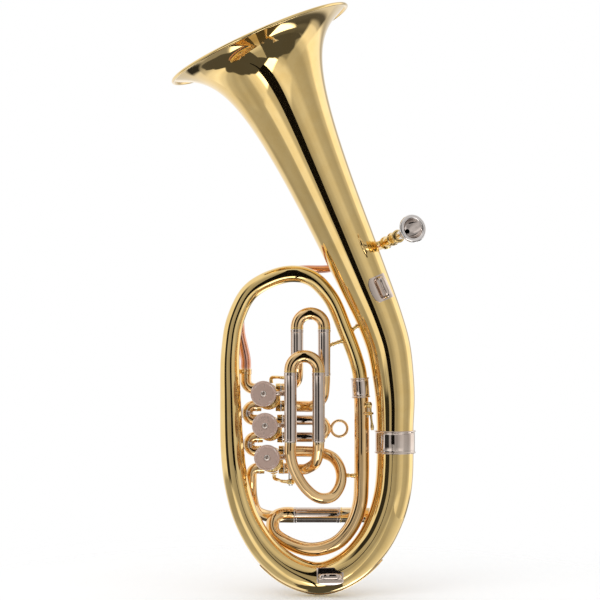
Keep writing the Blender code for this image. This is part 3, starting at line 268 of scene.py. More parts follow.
reach = (BELL_MOUTH - Vector(stem_knots[-1][:3])).length
flare_route = []
for step in range(FLARE_STEPS + 1):
    away = CURL * ((1 + reach / CURL) ** (1 - step / FLARE_STEPS) - 1)
    flare_route.append((BELL_MOUTH - BELL_AXIS * away, flare_radius(away)))
bell = draw_tube("spun_bell", stem_route[:-1] + flare_route, sides=96)
fit(bell, lacquered_brass, "horn", "bell")


# The rim: the flare's edge is rolled back round a ring of brass wire and burnished down, so it
# shows as an even round bead in front of and behind the flare's edge.

MERGE_WITHIN = 0.005 * MM


def turn_piece(name, outline, centre, along, steps=64, soften=0.25):
    """A lathe-turned piece: a closed outline of (radius, distance) spun round its axis."""
    bpy.ops.object.select_all(action="DESELECT")
    bpy.ops.mesh.primitive_circle_add(vertices=len(outline), fill_type="NOTHING")
    piece = bpy.context.object
    piece.name = name
    for corner, (radius, distance) in zip(piece.data.vertices, outline):
        corner.co = (radius * MM, 0, distance * MM)
    bpy.ops.object.mode_set(mode="EDIT")
    bpy.ops.mesh.select_all(action="SELECT")
    bpy.ops.mesh.spin(steps=steps, angle=2 * math.pi, center=(0, 0, 0), axis=(0, 0, 1))
    bpy.ops.mesh.select_all(action="SELECT")
    bpy.ops.mesh.remove_doubles(threshold=MERGE_WITHIN)
    bpy.ops.mesh.dissolve_degenerate(threshold=MERGE_WITHIN)
    bpy.ops.mesh.normals_make_consistent(inside=False)
    bpy.ops.object.mode_set(mode="OBJECT")
    turn = Vector((0, 0, 1)).rotation_difference(Vector(along)).to_matrix().to_4x4()
    piece.data.transform(Matrix.Translation(Vector(centre) * MM) @ turn)
    if soften:
        apply_modifier(piece, "soft_edges", "BEVEL", width=soften * MM, segments=2,
                       limit_method="ANGLE", angle_limit=math.radians(28))
    bpy.ops.object.shade_smooth_by_angle(angle=SMOOTH_ANGLE)
    return piece


RIM_RING_R = 99.1
RIM_BEAD_R = 1.75
BEAD_SIDES = 16
bead = []
for side in range(BEAD_SIDES):
    turn = 2 * math.pi * side / BEAD_SIDES
    bead.append((RIM_RING_R + RIM_BEAD_R * math.cos(turn), RIM_BEAD_R * math.sin(turn)))
rim = turn_piece("rolled_rim", bead, BELL_MOUTH, BELL_AXIS, 128, 0)
fit(rim, lacquered_brass, "horn", "bell_rim_ring")


# The bell's ferrule: a nickel-silver sleeve with a rolled bead at each edge, soldered over the
# joint between the bell and the big bow.

nickel_silver = make_metal(
    "nickel_silver_polish", (0.74, 0.63, 0.55), (0.66, 0.54, 0.46),
    (0.88, 0.82, 0.76), roughness=0.05, coat=0.10, smudge=75.0)


def ferrule_outline(inner, outer, half, bead):
    """A sleeve's outline, half of it each way, with a bead at both edges and a line inside it."""
    outline = [(inner, half), (outer + bead * 0.5, half), (outer + bead, half - 0.6),
               (outer + bead, half - 1.2), (outer + bead * 0.4, half - 1.8), (outer, half - 2.0),
               (outer, half - 3.2), (outer - 0.15, half - 3.4), (outer, half - 3.6)]
    return outline + [(radius, -distance) for radius, distance in reversed(outline)]


bell_ferrule = turn_piece("bell_joint_ferrule",
                          ferrule_outline(inner=19.6, outer=20.9, half=12.0, bead=0.8),
                          (0, 0, 0), (0, 0, 1), 96, 0.12)
fit(bell_ferrule, nickel_silver, "horn", "bell_ferrule")


# The big bow: a conical branch that runs from the bell's ferrule round the bottom, up the left
# side and over the top. It is bent from one tube, filled so that the wall stays round.

bow_knots = [
    (0, 0, -0.2, 19.4), (0, 0, -18, 19.4), (-0.6, 0, -34, 19.5), (-2.8, 0, -54, 19.4),
    (-9.8, 0, -79.5, 19.0), (-23.6, 0, -106.6, 18.3), (-47.2, 0, -130.7, 17.5),
    (-76.7, 0, -142.8, 16.8), (-107.1, 0, -136.0, 16.0), (-133.3, 0, -116.0, 14.9),
    (-154.3, 0, -83.5, 13.6), (-164.9, 0, -50.9, 13.0), (-170.1, 0, -16.2, 12.5),
    (-172.7, 0, 43.6, 11.0), (-172.7, 0, 96.1, 9.7), (-166.9, 0, 129.7, 9.3),
    (-150.2, 0, 159.1, 9.1), (-114.5, 0, 175.4, 8.9), (-89.2, 0, 172.2, 8.6),
    (-68.2, 0, 151.8, 8.3), (-52.5, 0, 117.1, 8.0), (-41.2, 0, 87.0, 7.7),
    (-37.2, 0, 70.6, 7.7), (-36.3, 0, 56.8, 7.7)]
bow_route = smooth_route(bow_knots, 2.5, 60)
bow = draw_tube("big_bow", bow_route, sides=72)
fit(bow, lacquered_brass, "horn", "main_bow")


# The guard: a half-round brass strip soldered along the outside of the bow's bottom, where the
# horn is set down and rubs against the player's clothes.

BOW_MIDDLE = Vector((-87, 0, 20))
GUARD_TOP_LEFT, GUARD_TOP_RIGHT = -118, -112
GUARD_SECTION = [(-4.6, 0.45), (-4.4, 0.8), (-3.4, 1.1), (-1.8, 1.35), (0, 1.4), (1.8, 1.35),
                 (3.4, 1.1), (4.4, 0.8), (4.6, 0.45)]   # (across the strip, height over the bow)
guard_route = []
for before, (point, radius), after in zip(bow_route, bow_route[1:], bow_route[2:]):
    if point.z > (GUARD_TOP_LEFT if point.x < BOW_MIDDLE.x else GUARD_TOP_RIGHT):
        continue
    outward = (after[0] - before[0]).cross(Vector((0, 1, 0))).normalized()
    outward = outward if outward.dot(point - BOW_MIDDLE) > 0 else -outward
    guard_route.append((point, radius, outward))
bpy.ops.object.select_all(action="DESELECT")
bpy.ops.mesh.primitive_grid_add(x_subdivisions=len(guard_route) - 1,
                                y_subdivisions=len(GUARD_SECTION) - 1, size=1)
guard = bpy.context.object
guard.name = "bow_guard_strip"
for corner in guard.data.vertices:
    number = round((corner.co.x + 0.5) * (len(guard_route) - 1))
    point, radius, outward = guard_route[number]
    across, rise = GUARD_SECTION[round((corner.co.y + 0.5) * (len(GUARD_SECTION) - 1))]
    from_end = min(number, len(guard_route) - 1 - number)
    taper = min(1.0, 0.35 + from_end * 0.22)
    angle = across * taper / (radius + rise)
    arm = outward * math.cos(angle) + Vector((0, 1, 0)) * math.sin(angle)
    corner.co = (point + arm * (radius + rise)) * MM
apply_modifier(guard, "strip_thickness", "SOLIDIFY", thickness=0.5 * MM, offset=-1.0)
bpy.ops.object.mode_set(mode="EDIT")
bpy.ops.mesh.select_all(action="SELECT")
bpy.ops.mesh.normals_make_consistent(inside=False)
bpy.ops.object.mode_set(mode="OBJECT")
bpy.ops.object.shade_smooth_by_angle(angle=math.radians(50))
fit(guard, lacquered_brass, "horn", "bow_guard")


# The return branch: a narrower tube that goes down beside the bell, turns along the bottom and
# comes back to the tuning slide's front sleeve. A nickel ferrule joins it to the big bow.

tube_brass = make_metal(
    "drawn_tube_polish", (0.93, 0.635, 0.32), (0.88, 0.57, 0.26),
    (0.97, 0.80, 0.52), roughness=0.035, coat=0.15)
return_knots = [
    (-36.3, 0, 56.4, 7.7), (-35.4, 0, 42.6, 7.7), (-35.0, 0, 22.6, 7.8), (-34.9, 0, -8.9, 7.9),
    (-35.2, 0, -40.4, 7.9), (-37.2, 0, -66.7, 7.9), (-46.2, 0, -89.8, 7.7),
    (-61.9, 0, -106.6, 7.6), (-87.1, 5, -114.0, 7.4), (-112.4, 14, -108.3, 7.2),
    (-127.5, 20.5, -97.5, 7.0), (-127.0, 26.0, -83.5, 6.9), (-117.0, 29.0, -78.8, 6.8),
    (-106.4, 29.0, -78.8, 6.8)]
return_route = smooth_route(return_knots, 2.0, 24)
return_branch = draw_tube("return_tube", return_route, sides=56)
fit(return_branch, tube_brass, "horn", "return_branch")
branch_ferrule = turn_piece("branch_joint_ferrule",
                            ferrule_outline(inner=7.9, outer=9.1, half=10.5, bead=0.7),
                            (-36.3, 0, 56.6), (-0.064, 0, 0.998), 64, 0.12)
fit(branch_ferrule, nickel_silver, "horn", "branch_ferrule")


# The valve casings: three thick turned cylinders that stand front to back in a leaning row, with
# a rolled edge at each end and four short port tubes brazed into each.

VALVES = [Vector((-133.0, 15.0, 45.7)), Vector((-131.4, 15.0, 12.7)),
          Vector((-129.8, 15.0, -20.3))]
PORT_RISE = 9.0    # the ports lie this far above and below a valve's middle
PORT_R = 5.8
FORWARD = Vector((0, -1, 0))
CASING_OUTLINE = [
    (2.7, 13.0), (2.7, 12.2), (11.3, 12.2), (11.3, -13.0), (12.3, -13.0), (12.6, -12.6),
    (12.6, -10.6), (12.1, -10.2), (12.1, 8.2), (12.6, 8.6), (12.6, 10.2), (12.0, 11.0),
    (11.0, 12.0), (8.6, 12.7), (8.2, 12.3), (6.4, 12.6), (6.0, 13.0)]


def join_pieces(name, *parts):
    """Several shapes soldered into one piece."""
    bpy.ops.object.select_all(action="DESELECT")
    for part in parts:
        part.select_set(True)
    bpy.context.view_layer.objects.active = parts[0]
    bpy.ops.object.join()
    joined = bpy.context.object
    joined.name = name
    return joined


def repeat_piece(first, name, places=VALVES):
    """The first place's piece, and a copy with its own mesh for each further place."""
    first.name = f"{name}_1"
    pieces = [first]
    for number, place in enumerate(places[1:], 2):
        bpy.ops.object.select_all(action="DESELECT")
        first.select_set(True)
        bpy.context.view_layer.objects.active = first
        bpy.ops.object.duplicate(linked=False)
        twin = bpy.context.object
        twin.name = f"{name}_{number}"
        twin.data.transform(Matrix.Translation((place - places[0]) * MM))
        pieces.append(twin)
    return pieces


drum = turn_piece("casing_drum", CASING_OUTLINE, VALVES[0], FORWARD, 64, 0.2)
stubs = []
for side in (-1, 1):
    for rise in (-PORT_RISE, PORT_RISE):
        stubs.append(draw_tube("port_stub", [
            (VALVES[0] + Vector((side * reach, 0, rise)), radius)
            for reach, radius in ((7.6, PORT_R), (11.2, PORT_R), (11.5, 6.1), (12.9, 6.1))],
            0.9, 40))
casing = join_pieces("casing", drum, *stubs)
for index, piece in enumerate(repeat_piece(casing, "casing_with_ports")):
    fit(piece, lacquered_brass, "horn", f"valve_casing_{index + 1}")


# The rotors and their caps: a brass rotor turns in each casing, its steel spindle comes out at
# the front, and a nickel cap with a milled edge screws over the back.

PIN_OFFSET = Vector((-4.243, 0, 4.243))   # the stop arm's pin, from the spindle
first_valve = VALVES[0]
core = turn_piece("rotor_core", [(0, 12.4), (11.0, 12.4), (11.0, -10.0), (0, -10.0)],
                  first_valve, (0, 1, 0), 48, 0.3)
spindle = turn_piece("rotor_spindle", [
    (0, 13.6), (1.2, 13.6), (1.4, 14.1), (2.2, 14.6), (2.4, 15.2), (2.4, 16.2), (1.3, 16.2),
    (1.0, 15.6), (0.6, 16.2), (0, 16.2)], first_valve, FORWARD, 40, 0.1)
shaft = turn_piece("rotor_shaft", [(0, 9.0), (2.3, 9.0), (2.3, 15.6), (0, 15.6)], first_valve,
                   FORWARD, 40, 0.1)
hub = turn_piece("stop_hub", [(2.2, 1.7), (3.4, 1.7), (3.6, 1.3), (3.6, -0.6), (2.2, -0.6)],
                 (first_valve.x, 1.1, first_valve.z), FORWARD, 40, 0.2)
arm_start = Vector((first_valve.x, 0.5, first_valve.z))
arm_end = arm_start + PIN_OFFSET
arm = draw_tube("stop_bar", [(arm_start, 1.2), (arm_start.lerp(arm_end, 0.5), 0.9),
                             (arm_end, 0.9)], None, 20)
eye = turn_piece("stop_eye", [(0, 0.9), (1.9, 0.9), (2.1, 0.6), (2.1, -0.8), (0, -0.8)],
                 arm_end, FORWARD, 32, 0.15)
pin = turn_piece("stop_pin", [(0, 4.0), (0.7, 4.0), (1.0, 3.7), (1.0, 0), (0, 0)],
                 arm_end, FORWARD, 24, 0)
stop = join_pieces("stop", spindle, shaft, hub, arm, eye, pin)
cap = turn_piece("cap", [
    (0, 4.4), (3.4, 4.4), (3.8, 3.9), (4.6, 4.1), (5.4, 3.5), (6.2, 3.0), (10.6, 3.0),
    (11.4, 2.8), (12.2, 2.0), (12.2, 0.5), (11.8, 0.0), (0, 0.0)],
    (first_valve.x, 28.3, first_valve.z), (0, 1, 0), 96, 0.12)
for index, (core_piece, stop_piece, cap_piece) in enumerate(zip(
        repeat_piece(core, "rotor_core"), repeat_piece(stop, "rotor_stop"),
        repeat_piece(cap, "screw_cap"))):
    rotor = f"rotor_{index + 1}"
    fit(core_piece, lacquered_brass, rotor, rotor)
    fit(stop_piece, nickel_silver, rotor)
    fit(cap_piece, nickel_silver, "horn", f"valve_cap_{index + 1}")


# The knuckles: two tight bows on the left that join one valve to the next, each drawn as a
# half circle of tube with a nickel band over the join at its middle.

def arc_points(middle, first, second, bend, radius, turns):
    """Points round a middle at turns in degrees, from its first direction to its second."""
    points = []
    for turn in turns:
        arm = first * math.cos(math.radians(turn)) + second * math.sin(math.radians(turn))
        points.append((middle + arm * bend, radius))
    return points


def arc_route(start, end, bulge, radius, run=1.9):
    """A half circle from one port to the next, bulging one way, with a short straight start."""
    out = Vector(bulge)
    middle = (start + end) / 2
    middle += out * (max(start.dot(out), end.dot(out)) - middle.dot(out) + run)
    across = start - end
    across -= out * across.dot(out)
    arc = arc_points(middle, across.normalized(), out, across.length / 2, radius,
                     range(0, 181, 6))
    return [(start, radius), *arc, (end, radius)]


knuckle_route = arc_route(VALVES[0] + Vector((-13.2, 0, -PORT_RISE)),
                          VALVES[1] + Vector((-13.2, 0, PORT_RISE)), (-1, 0, 0), PORT_R)
band_middle = len(knuckle_route) // 2
band_route = [(point, 6.35) for point, _ in knuckle_route[band_middle - 4:band_middle + 5]]
for edge_row in (0, 1, 7, 8):
    band_route[edge_row] = (band_route[edge_row][0], 6.6)
knuckle = draw_tube("knuckle_bow", knuckle_route)
band = draw_tube("knuckle_band", band_route, 0.5)
for index, (bow_piece, band_piece) in enumerate(zip(
        repeat_piece(knuckle, "knuckle_bow", VALVES[:2]),
        repeat_piece(band, "knuckle_band", VALVES[:2]))):
    fit(bow_piece, tube_brass, "horn", f"knuckle_{index + 1}_to_{index + 2}")
    fit(band_piece, nickel_silver, "horn")


# The leadpipe: a slender tapered tube of gold brass, which holds more copper, from the receiver
# round behind the bell and the bow's top to the first valve.

gold_brass = make_metal(
    "gold_brass_polish", (0.82, 0.45, 0.34), (0.74, 0.36, 0.25),
    (0.92, 0.62, 0.50), roughness=0.06, coat=0.2)
lead_knots = [
    (-15.0, 19.2, 205.8, 3.8), (-17.1, 24.8, 204.7, 3.8), (-28, 34, 198.5, 3.9),
    (-45, 38.5, 190, 4.0), (-66.6, 37, 182.5, 4.1), (-99.8, 27, 181, 4.3),
    (-130, 23, 175.5, 4.6), (-151, 21, 160, 4.8), (-162.5, 19.5, 137, 5.0),
    (-163.2, 17.5, 115, 5.2), (-159.5, 15.6, 97, 5.4), (-157.2, 15, 85, 5.5),
    (-157.2, 15, 76.1, 5.7)]
leadpipe = draw_tube("gold_brass_leadpipe", smooth_route(lead_knots, 2.0, 24), sides=40)
fit(leadpipe, gold_brass, "horn", "leadpipe")


# The inlet elbow and the outlet pipe: the elbow takes the leadpipe in a stepped brass socket, and
# the outlet pipe leaves the last valve downward and goes behind to the tuning slide.

LEFT = Vector((-1, 0, 0))
UP = Vector((0, 0, 1))
ELBOW_X = -157.2
ELBOW_LOW = VALVES[0].z + PORT_RISE
ELBOW_BEND = 9.0
elbow_route = [(Vector((ELBOW_X, 15, z)), radius) for z, radius in (
    (75.8, 6.2), (75.6, 6.5), (74.2, 6.5), (73.8, 6.3), (71.6, 6.3), (71.2, 6.5), (70.2, 6.5),
    (69.8, PORT_R), (ELBOW_LOW + ELBOW_BEND, PORT_R))]
elbow_route += arc_points(Vector((ELBOW_X + ELBOW_BEND, 15, ELBOW_LOW + ELBOW_BEND)), LEFT, -UP,
                          ELBOW_BEND, PORT_R, range(6, 91, 6))
elbow_route.append((Vector((-146.2, 15, ELBOW_LOW)), PORT_R))
elbow = draw_tube("inlet_socket_and_elbow", elbow_route)
fit(elbow, tube_brass, "horn", "inlet_elbow")

OUTLET_HIGH = VALVES[2].z - PORT_RISE
OUTLET_BEND = 6.4
outlet_route = [(Vector((-143.0, 15, OUTLET_HIGH)), PORT_R)]
outlet_route += arc_points(Vector((-144.8, 15, OUTLET_HIGH - OUTLET_BEND)), UP, LEFT,
                           OUTLET_BEND, PORT_R, range(0, 91, 9))
outlet_route += smooth_route([
    (-151.2, 15, -37.2, 5.8), (-151.3, 15.8, -41, 5.8), (-151.4, 19.6, -50.4, 5.9),
    (-150.4, 29.5, -64, 6.0), (-145.5, 42, -78, 6.1), (-132.5, 51.5, -84.3, 6.3),
    (-117, 54, -84.8, 6.6), (-106.4, 54, -84.8, 6.8)], 2.0, 16)
outlet = draw_tube("outlet_tube", outlet_route)
fit(outlet, tube_brass, "horn", "valve_outlet_pipe")


# The levers: a nickel hub turns on the steel axle, its arm carries a round touchpiece with a
# turned face, and its forked tail pulls a link rod that turns the rotor through its stop arm.

turned_face = make_metal(
    "turned_nickel_face", (0.66, 0.48, 0.40), (0.58, 0.41, 0.34),
    (0.92, 0.84, 0.76), roughness=0.30, coat=0.0, smudge=200.0)
turned_face.node_tree.nodes["Principled BSDF"].inputs["Metallic"].default_value = 0.6
AXLE_X, AXLE_Y = -109.5, -20.0
TOUCH_OFFSETS = (28.0, 26.5, 24.4)   # from the axle to the middle of each touchpiece
TOUCH_BACK = -31.1                   # the posts' front end
PLATE_BACK = -31.4                   # the plates' back, which stands a little before it
LEVER_RISE = 6.0                     # the levers lie this far above the valves' middles
FORK_LEVEL = -0.88                   # the fork's middle, from its lever's
PRONG_RISE = 3.55
TAIL = Vector((-4.24, 18.38, 0))     # the fork's pin, from the axle
axles = [Vector((AXLE_X, AXLE_Y, middle.z + LEVER_RISE)) for middle in VALVES]
touches = [Vector((AXLE_X - offset, TOUCH_BACK, axle.z))
           for offset, axle in zip(TOUCH_OFFSETS, axles)]

fork = [turn_piece("lever_hub", [
    (2.7, 4.2), (3.6, 4.2), (4.2, 3.7), (4.2, 2.8), (3.7, 2.4), (3.7, -6.3), (4.2, -6.7),
    (4.2, -7.5), (3.6, -8.0), (2.7, -8.0)], axles[0], UP, 40, 0.12)]
for level in (FORK_LEVEL - PRONG_RISE, FORK_LEVEL + PRONG_RISE):
    root = axles[0] + UP * level
    fork.append(draw_tube("fork_prong", [(root, 0.95), (root + TAIL, 0.85)], None, 16))
    fork.append(turn_piece("fork_eye", [(0, 0.65), (1.9, 0.65), (2.2, 0.3), (2.2, -0.3),
                                        (1.9, -0.65), (0, -0.65)], root + TAIL, UP, 32, 0))
fork_pin = axles[0] + TAIL
fork.append(draw_tube("fork_pin", [(fork_pin + UP * (FORK_LEVEL - 3.5), 1.0),
                                   (fork_pin + UP * (FORK_LEVEL + 3.5), 1.0)], None, 20))
forks = repeat_piece(join_pieces("hub_and_fork", *fork), "hub_and_fork", axles)
posts = repeat_piece(turn_piece("touch_post", [
    (0, 0), (3.2, 0), (3.0, 0.6), (2.4, 1.2), (2.4, 3.2), (0, 3.2)], touches[0], (0, 1, 0), 32,
    0.1), "touch_post", touches)

face = [(0, 1.0), (3.5, 1.0), (3.6, 1.5)]
face += [(4.1 + 0.4 * line, 1.6 - 0.07 * (line % 2)) for line in range(17)]
face += [(10.6, 1.35), (11.0, 1.35), (11.1, 1.65), (11.9, 1.8), (12.6, 1.75), (13.15, 1.4),
         (13.4, 0.9), (13.2, 0.3), (12.8, 0), (0, 0)]
plate_at = Vector((touches[0].x, PLATE_BACK, touches[0].z))
plates = repeat_piece(turn_piece("touchplate", face, plate_at, FORWARD, 96, 0.05),
                      "touchplate", touches)
bosses = repeat_piece(turn_piece("touch_boss", [
    (0, 1.1), (3.4, 1.1), (3.5, 1.35), (3.2, 1.9), (2.7, 2.2), (2.1, 2.5), (1.7, 2.5),
    (1.2, 2.1), (0.9, 1.2), (0, 1.1)], plate_at, FORWARD, 8, 0), "touch_boss", touches)

LINK_DEPTH = -1.8
stop_pins = [Vector((middle.x, LINK_DEPTH, middle.z)) + PIN_OFFSET for middle in VALVES]
tails = [Vector((AXLE_X + TAIL.x, AXLE_Y + TAIL.y, stop_pin.z)) for stop_pin in stop_pins]
big_eyes = repeat_piece(turn_piece("link_big_eye", [
    (1.15, 0.9), (2.5, 0.9), (2.9, 0.5), (2.9, -0.5), (2.5, -0.9), (1.15, -0.9)],
    stop_pins[0], (0, 1, 0), 40, 0.1), "link_big_eye", stop_pins)
flat_eyes = repeat_piece(turn_piece("link_flat_eye", [
    (1.9, 1.0), (2.6, 1.0), (2.9, 0.6), (2.9, -0.6), (2.6, -1.0), (1.9, -1.0)],
    tails[0], UP, 40, 0.1), "link_flat_eye", tails)

for index, (axle, touch, stop_pin, tail) in enumerate(zip(axles, touches, stop_pins, tails)):
    body = f"lever_{index + 1}"
    arm = draw_tube("lever_arm", smooth_route([
        (axle.x - 2.0, AXLE_Y, axle.z, 3.0), (axle.x - 8.0, -23.0, axle.z, 2.8),
        (axle.x - 12.5, -28.5, axle.z, 2.5), (touch.x - 2.0, -28.6, axle.z, 2.1)], 0.8, 10),
        None, 28)
    lever = join_pieces(f"lever_with_fork_{index + 1}", forks[index], arm, posts[index])
    fit(lever, nickel_silver, body, body)
    fit(plates[index], turned_face, body, f"touchpiece_{index + 1}")
    fit(bosses[index], nickel_silver, body)

    start = stop_pin + Vector((2.4, 0, 0))
    end = tail - Vector((2.4, 0, 0))
    rod = draw_tube("link_rod_bar", [
        (start.lerp(end, share), radius) for share, radius in (
            (0, 1.3), (0.15, 1.3), (0.16, 0.8), (0.84, 0.8), (0.85, 1.25), (1, 1.25))], None, 24)
    link = join_pieces(f"link_with_eyes_{index + 1}", big_eyes[index], rod, flat_eyes[index])
    fit(link, nickel_silver, f"link_rod_{index + 1}", f"link_rod_{index + 1}")


# The axle and its brackets: one steel rod carries the three levers, held at each end by a brass
# bracket that is soldered to the first and the last casing.

ground_steel = make_metal(
    "ground_steel", (0.60, 0.59, 0.57), (0.50, 0.49, 0.47), (0.80, 0.79, 0.77),
    roughness=0.2, coat=0.0, smudge=120.0)
axle_rod = turn_piece("lever_axle_rod", [
    (0, 71.7), (1.9, 71.7), (2.3, 71.2), (2.3, -43.8), (1.9, -44.3), (0, -44.3)],
    (AXLE_X, AXLE_Y, 0), UP, 48, 0)
fit(axle_rod, ground_steel, "horn", "lever_axle")
for name, middle, height, side in (
        ("top", VALVES[0], 67.7, 1), ("bottom", VALVES[2], -40.3, -1)):
    eye = turn_piece("bracket_eye", [(2.7, 2.2), (3.7, 2.2), (4.2, 1.7), (4.2, -1.7), (3.7, -2.2),
                                     (2.7, -2.2)], (AXLE_X, AXLE_Y, height), UP, 40, 0.12)
    foot = Vector((middle.x + 3.0, 6.0, middle.z + side * 15.2))
    post = draw_tube("bracket_post", smooth_route([
        (-112.6, AXLE_Y, height, 1.8), (-117.5, -16, height, 1.7), (foot.x + 5, -2, height, 1.7),
        (foot.x, 6.0, height - side * 1.5, 1.9), (*foot, 2.1)], 1.0, 8), None, 24)
    pad = turn_piece("bracket_pad", [(0, 1.6), (2.2, 1.6), (4.2, 0.5), (4.4, 0.0), (0, 0.0)],
                     (foot.x, 6.0, middle.z + side * 12.6), (0.22, 0, side), 32, 0.1)
    bracket = join_pieces(f"axle_bracket_{name}_form", eye, post, pad)
    fit(bracket, lacquered_brass, "horn", f"axle_bracket_{name}")


# The mouthpiece and its receiver: the nickel mouthpiece is turned with a broad rim and a deep
# cup, and its tapered shank sits in a brass receiver turned with balusters and collars.

MOUTH_RIM = Vector((15.7, -62.0, 221.7))
MOUTH_WAY = Vector((-0.348, 0.920, -0.180)).normalized()
mouth_outline = [
    (10.2, -1.2), (10.7, -0.4), (11.5, -0.1), (12.4, 0.0), (13.4, -0.2), (14.2, -0.8),
    (14.6, -1.8), (14.4, -2.8), (13.7, -3.5), (13.3, -3.9), (13.4, -4.6), (12.9, -5.2),
    (11.6, -6.6), (10.9, -9.0), (10.1, -12.0), (8.6, -15.6), (7.0, -18.6), (5.8, -21.0),
    (5.7, -21.8), (6.2, -22.4), (6.2, -23.2), (5.5, -24.0), (5.2, -25.0), (5.0, -38.0),
    (4.4, -62.0), (3.2, -62.0), (2.2, -20.0), (2.5, -15.4), (5.0, -13.4), (7.2, -10.6),
    (8.8, -7.4), (9.8, -4.0)]
mouthpiece = turn_piece("cup_mouthpiece", mouth_outline, MOUTH_RIM, -MOUTH_WAY, 96, 0)
mouth_silver = make_metal(
    "silvered_mouthpiece", (0.86, 0.81, 0.78), (0.76, 0.70, 0.66),
    (0.95, 0.93, 0.91), roughness=0.06, coat=0.1, smudge=90.0)
fit(mouthpiece, mouth_silver, "mouthpiece", "mouthpiece")

receiver_outline = [
    (5.35, -38), (6.5, -38), (6.9, -38.4), (7.0, -39.0), (6.8, -39.8), (6.2, -40.4), (6.0, -41.2),
    (6.4, -41.8), (6.4, -42.6), (5.9, -43.4), (5.8, -46.0), (6.2, -47.4), (6.4, -49.0),
    (6.2, -50.4), (5.8, -51.2), (6.5, -51.8), (7.0, -52.5), (7.0, -53.7), (6.5, -54.5),
    (5.8, -55.4), (5.7, -57.0), (5.9, -60.0), (5.9, -63.0), (5.7, -66.5), (5.4, -69.0),
    (6.2, -70.0), (6.8, -71.0), (6.8, -73.6), (6.2, -74.6), (5.2, -75.6), (4.8, -77.0),
    (4.6, -86.4), (4.3, -88.0), (3.1, -88.0), (3.1, -63.0), (4.8, -62.9)]
receiver = turn_piece("turned_receiver", receiver_outline, MOUTH_RIM, -MOUTH_WAY, 64, 0.1)
fit(receiver, lacquered_brass, "horn", "mouthpiece_receiver")


# The slides: nickel-silver sleeves stay on the horn, and brass crooks with nickel inner legs are
# ground in to slide. Each sleeve has a ring at its mouth, where the crook's collar stops.

SLIDE_RADII = (6.8, 6.5, 5.8)         # sleeve, crook and inner leg, outside
SMALL_SLIDE_RADII = (5.6, 5.3, 4.6)
LEG_SHORT = 3.0                       # a leg ends this far from its sleeve's closed end
CROOK_WALL = 0.6


def make_sleeve(name, closed, mouth, radius, node):
    """A drawn sleeve with a slightly raised ring at its mouth and at its closed end."""
    along = (mouth - closed).normalized()
    length = (mouth - closed).length
    outline = [(radius - 0.7, 0), (radius - 0.1, 0), (radius, 0.3), (radius, 2.4),
               (radius - 0.25, 2.7), (radius - 0.25, length - 3.2), (radius, length - 2.9),
               (radius, length - 0.4), (radius - 0.1, length), (radius - 0.7, length)]
    sleeve = turn_piece(name, outline, closed, along, 48, 0.06)
    fit(sleeve, nickel_silver, "horn", node)


def make_crook(name, legs, run, radius, inner, body, node):
    """A brass bow, its collars and the two thinner nickel legs that slide in the sleeves."""
    (start_a, mouth_a), (_, mouth_b) = legs
    out = (mouth_a - start_a).normalized()
    seat = out * 0.3
    bow = draw_tube(name, arc_route(mouth_a + seat, mouth_b + seat, out, radius, run), CROOK_WALL)
    for start, mouth in legs:
        leg = draw_tube(f"{name}_leg", [(start, inner), (mouth + out, inner)], CROOK_WALL, 40)
        fit(leg, nickel_silver, body)
        collar = turn_piece(f"{name}_collar", [
            (radius - 0.5, 0), (radius, 0), (radius + 0.25, 0.3), (radius + 0.25, 1.4),
            (radius, 1.7), (radius - 0.5, 1.7)], mouth + seat, out, 48, 0.05)
        fit(collar, lacquered_brass, body)
    fit(bow, tube_brass, body, node)


def make_slide(name, node, body, sleeves, run, radii=SLIDE_RADII):
    """Two sleeves, each with its closed end and its mouth, and the crook that draws out of them."""
    outer, crook, inner = radii
    legs = []
    for side, closed, mouth in sleeves:
        closed, mouth = Vector(closed), Vector(mouth)
        make_sleeve(f"{name}_outer_{side}", closed, mouth, outer, f"{node}_sleeve_{side}")
        legs.append((closed + (mouth - closed).normalized() * LEG_SHORT, mouth))
    make_crook(f"{name}_bow", legs, run, crook, inner, body, f"{node}_crook")


make_slide("tuning", "tuning", "tuning_slide", [
    ("front", (-106.1, 29.0, -78.8), (-57.0, 29.0, -78.8)),
    ("back", (-106.1, 54.0, -84.8), (-57.0, 54.0, -84.8))], 21.7)


# The first valve's slide stands behind the third's: two nickel sleeves with a short crook, and
# two bent brass branches that are soldered between the sleeves and the valve's ports.

def make_branch(name, knots, node, step=1.6, rounds=10):
    """A bent tube, soldered between a valve's port and its slide's sleeve."""
    fit(draw_tube(name, smooth_route(knots, step, rounds)), tube_brass, "horn", node)


make_slide("first", "slide_1", "slide_1", [
    ("left", (-102.9, -16, 84.0), (-102.9, -16, 118.0)),
    ("right", (-74.6, -16, 70.0), (-74.6, -16, 118.0))], 2.2)
make_branch("first_left_branch", [
    (-119.8, 15, 54.7, 5.8), (-117.3, 15, 54.7, 5.8), (-114.8, 15, 54.7, 5.8),
    (-107.4, 6, 59.7, 6.0), (-103.4, -7, 66, 6.3), (-102.9, -16, 80, 6.4),
    (-102.9, -16, 83.7, 6.4)], "slide_1_left_branch")
make_branch("first_right_branch", [
    (-74.6, -16, 69.7, 6.4), (-74.6, -16, 62, 6.2), (-76.6, -14, 47, 6.0),
    (-84.6, -7, 38.5, 5.9), (-97, 6, 36.7, 5.8), (-114.8, 15, 36.7, 5.8),
    (-117.3, 15, 36.7, 5.8), (-119.8, 15, 36.7, 5.8)], "slide_1_right_branch")


# The second valve's slide is the shortest: two level sleeves straight out of the valve, and a
# crook with a pull ring for one finger.

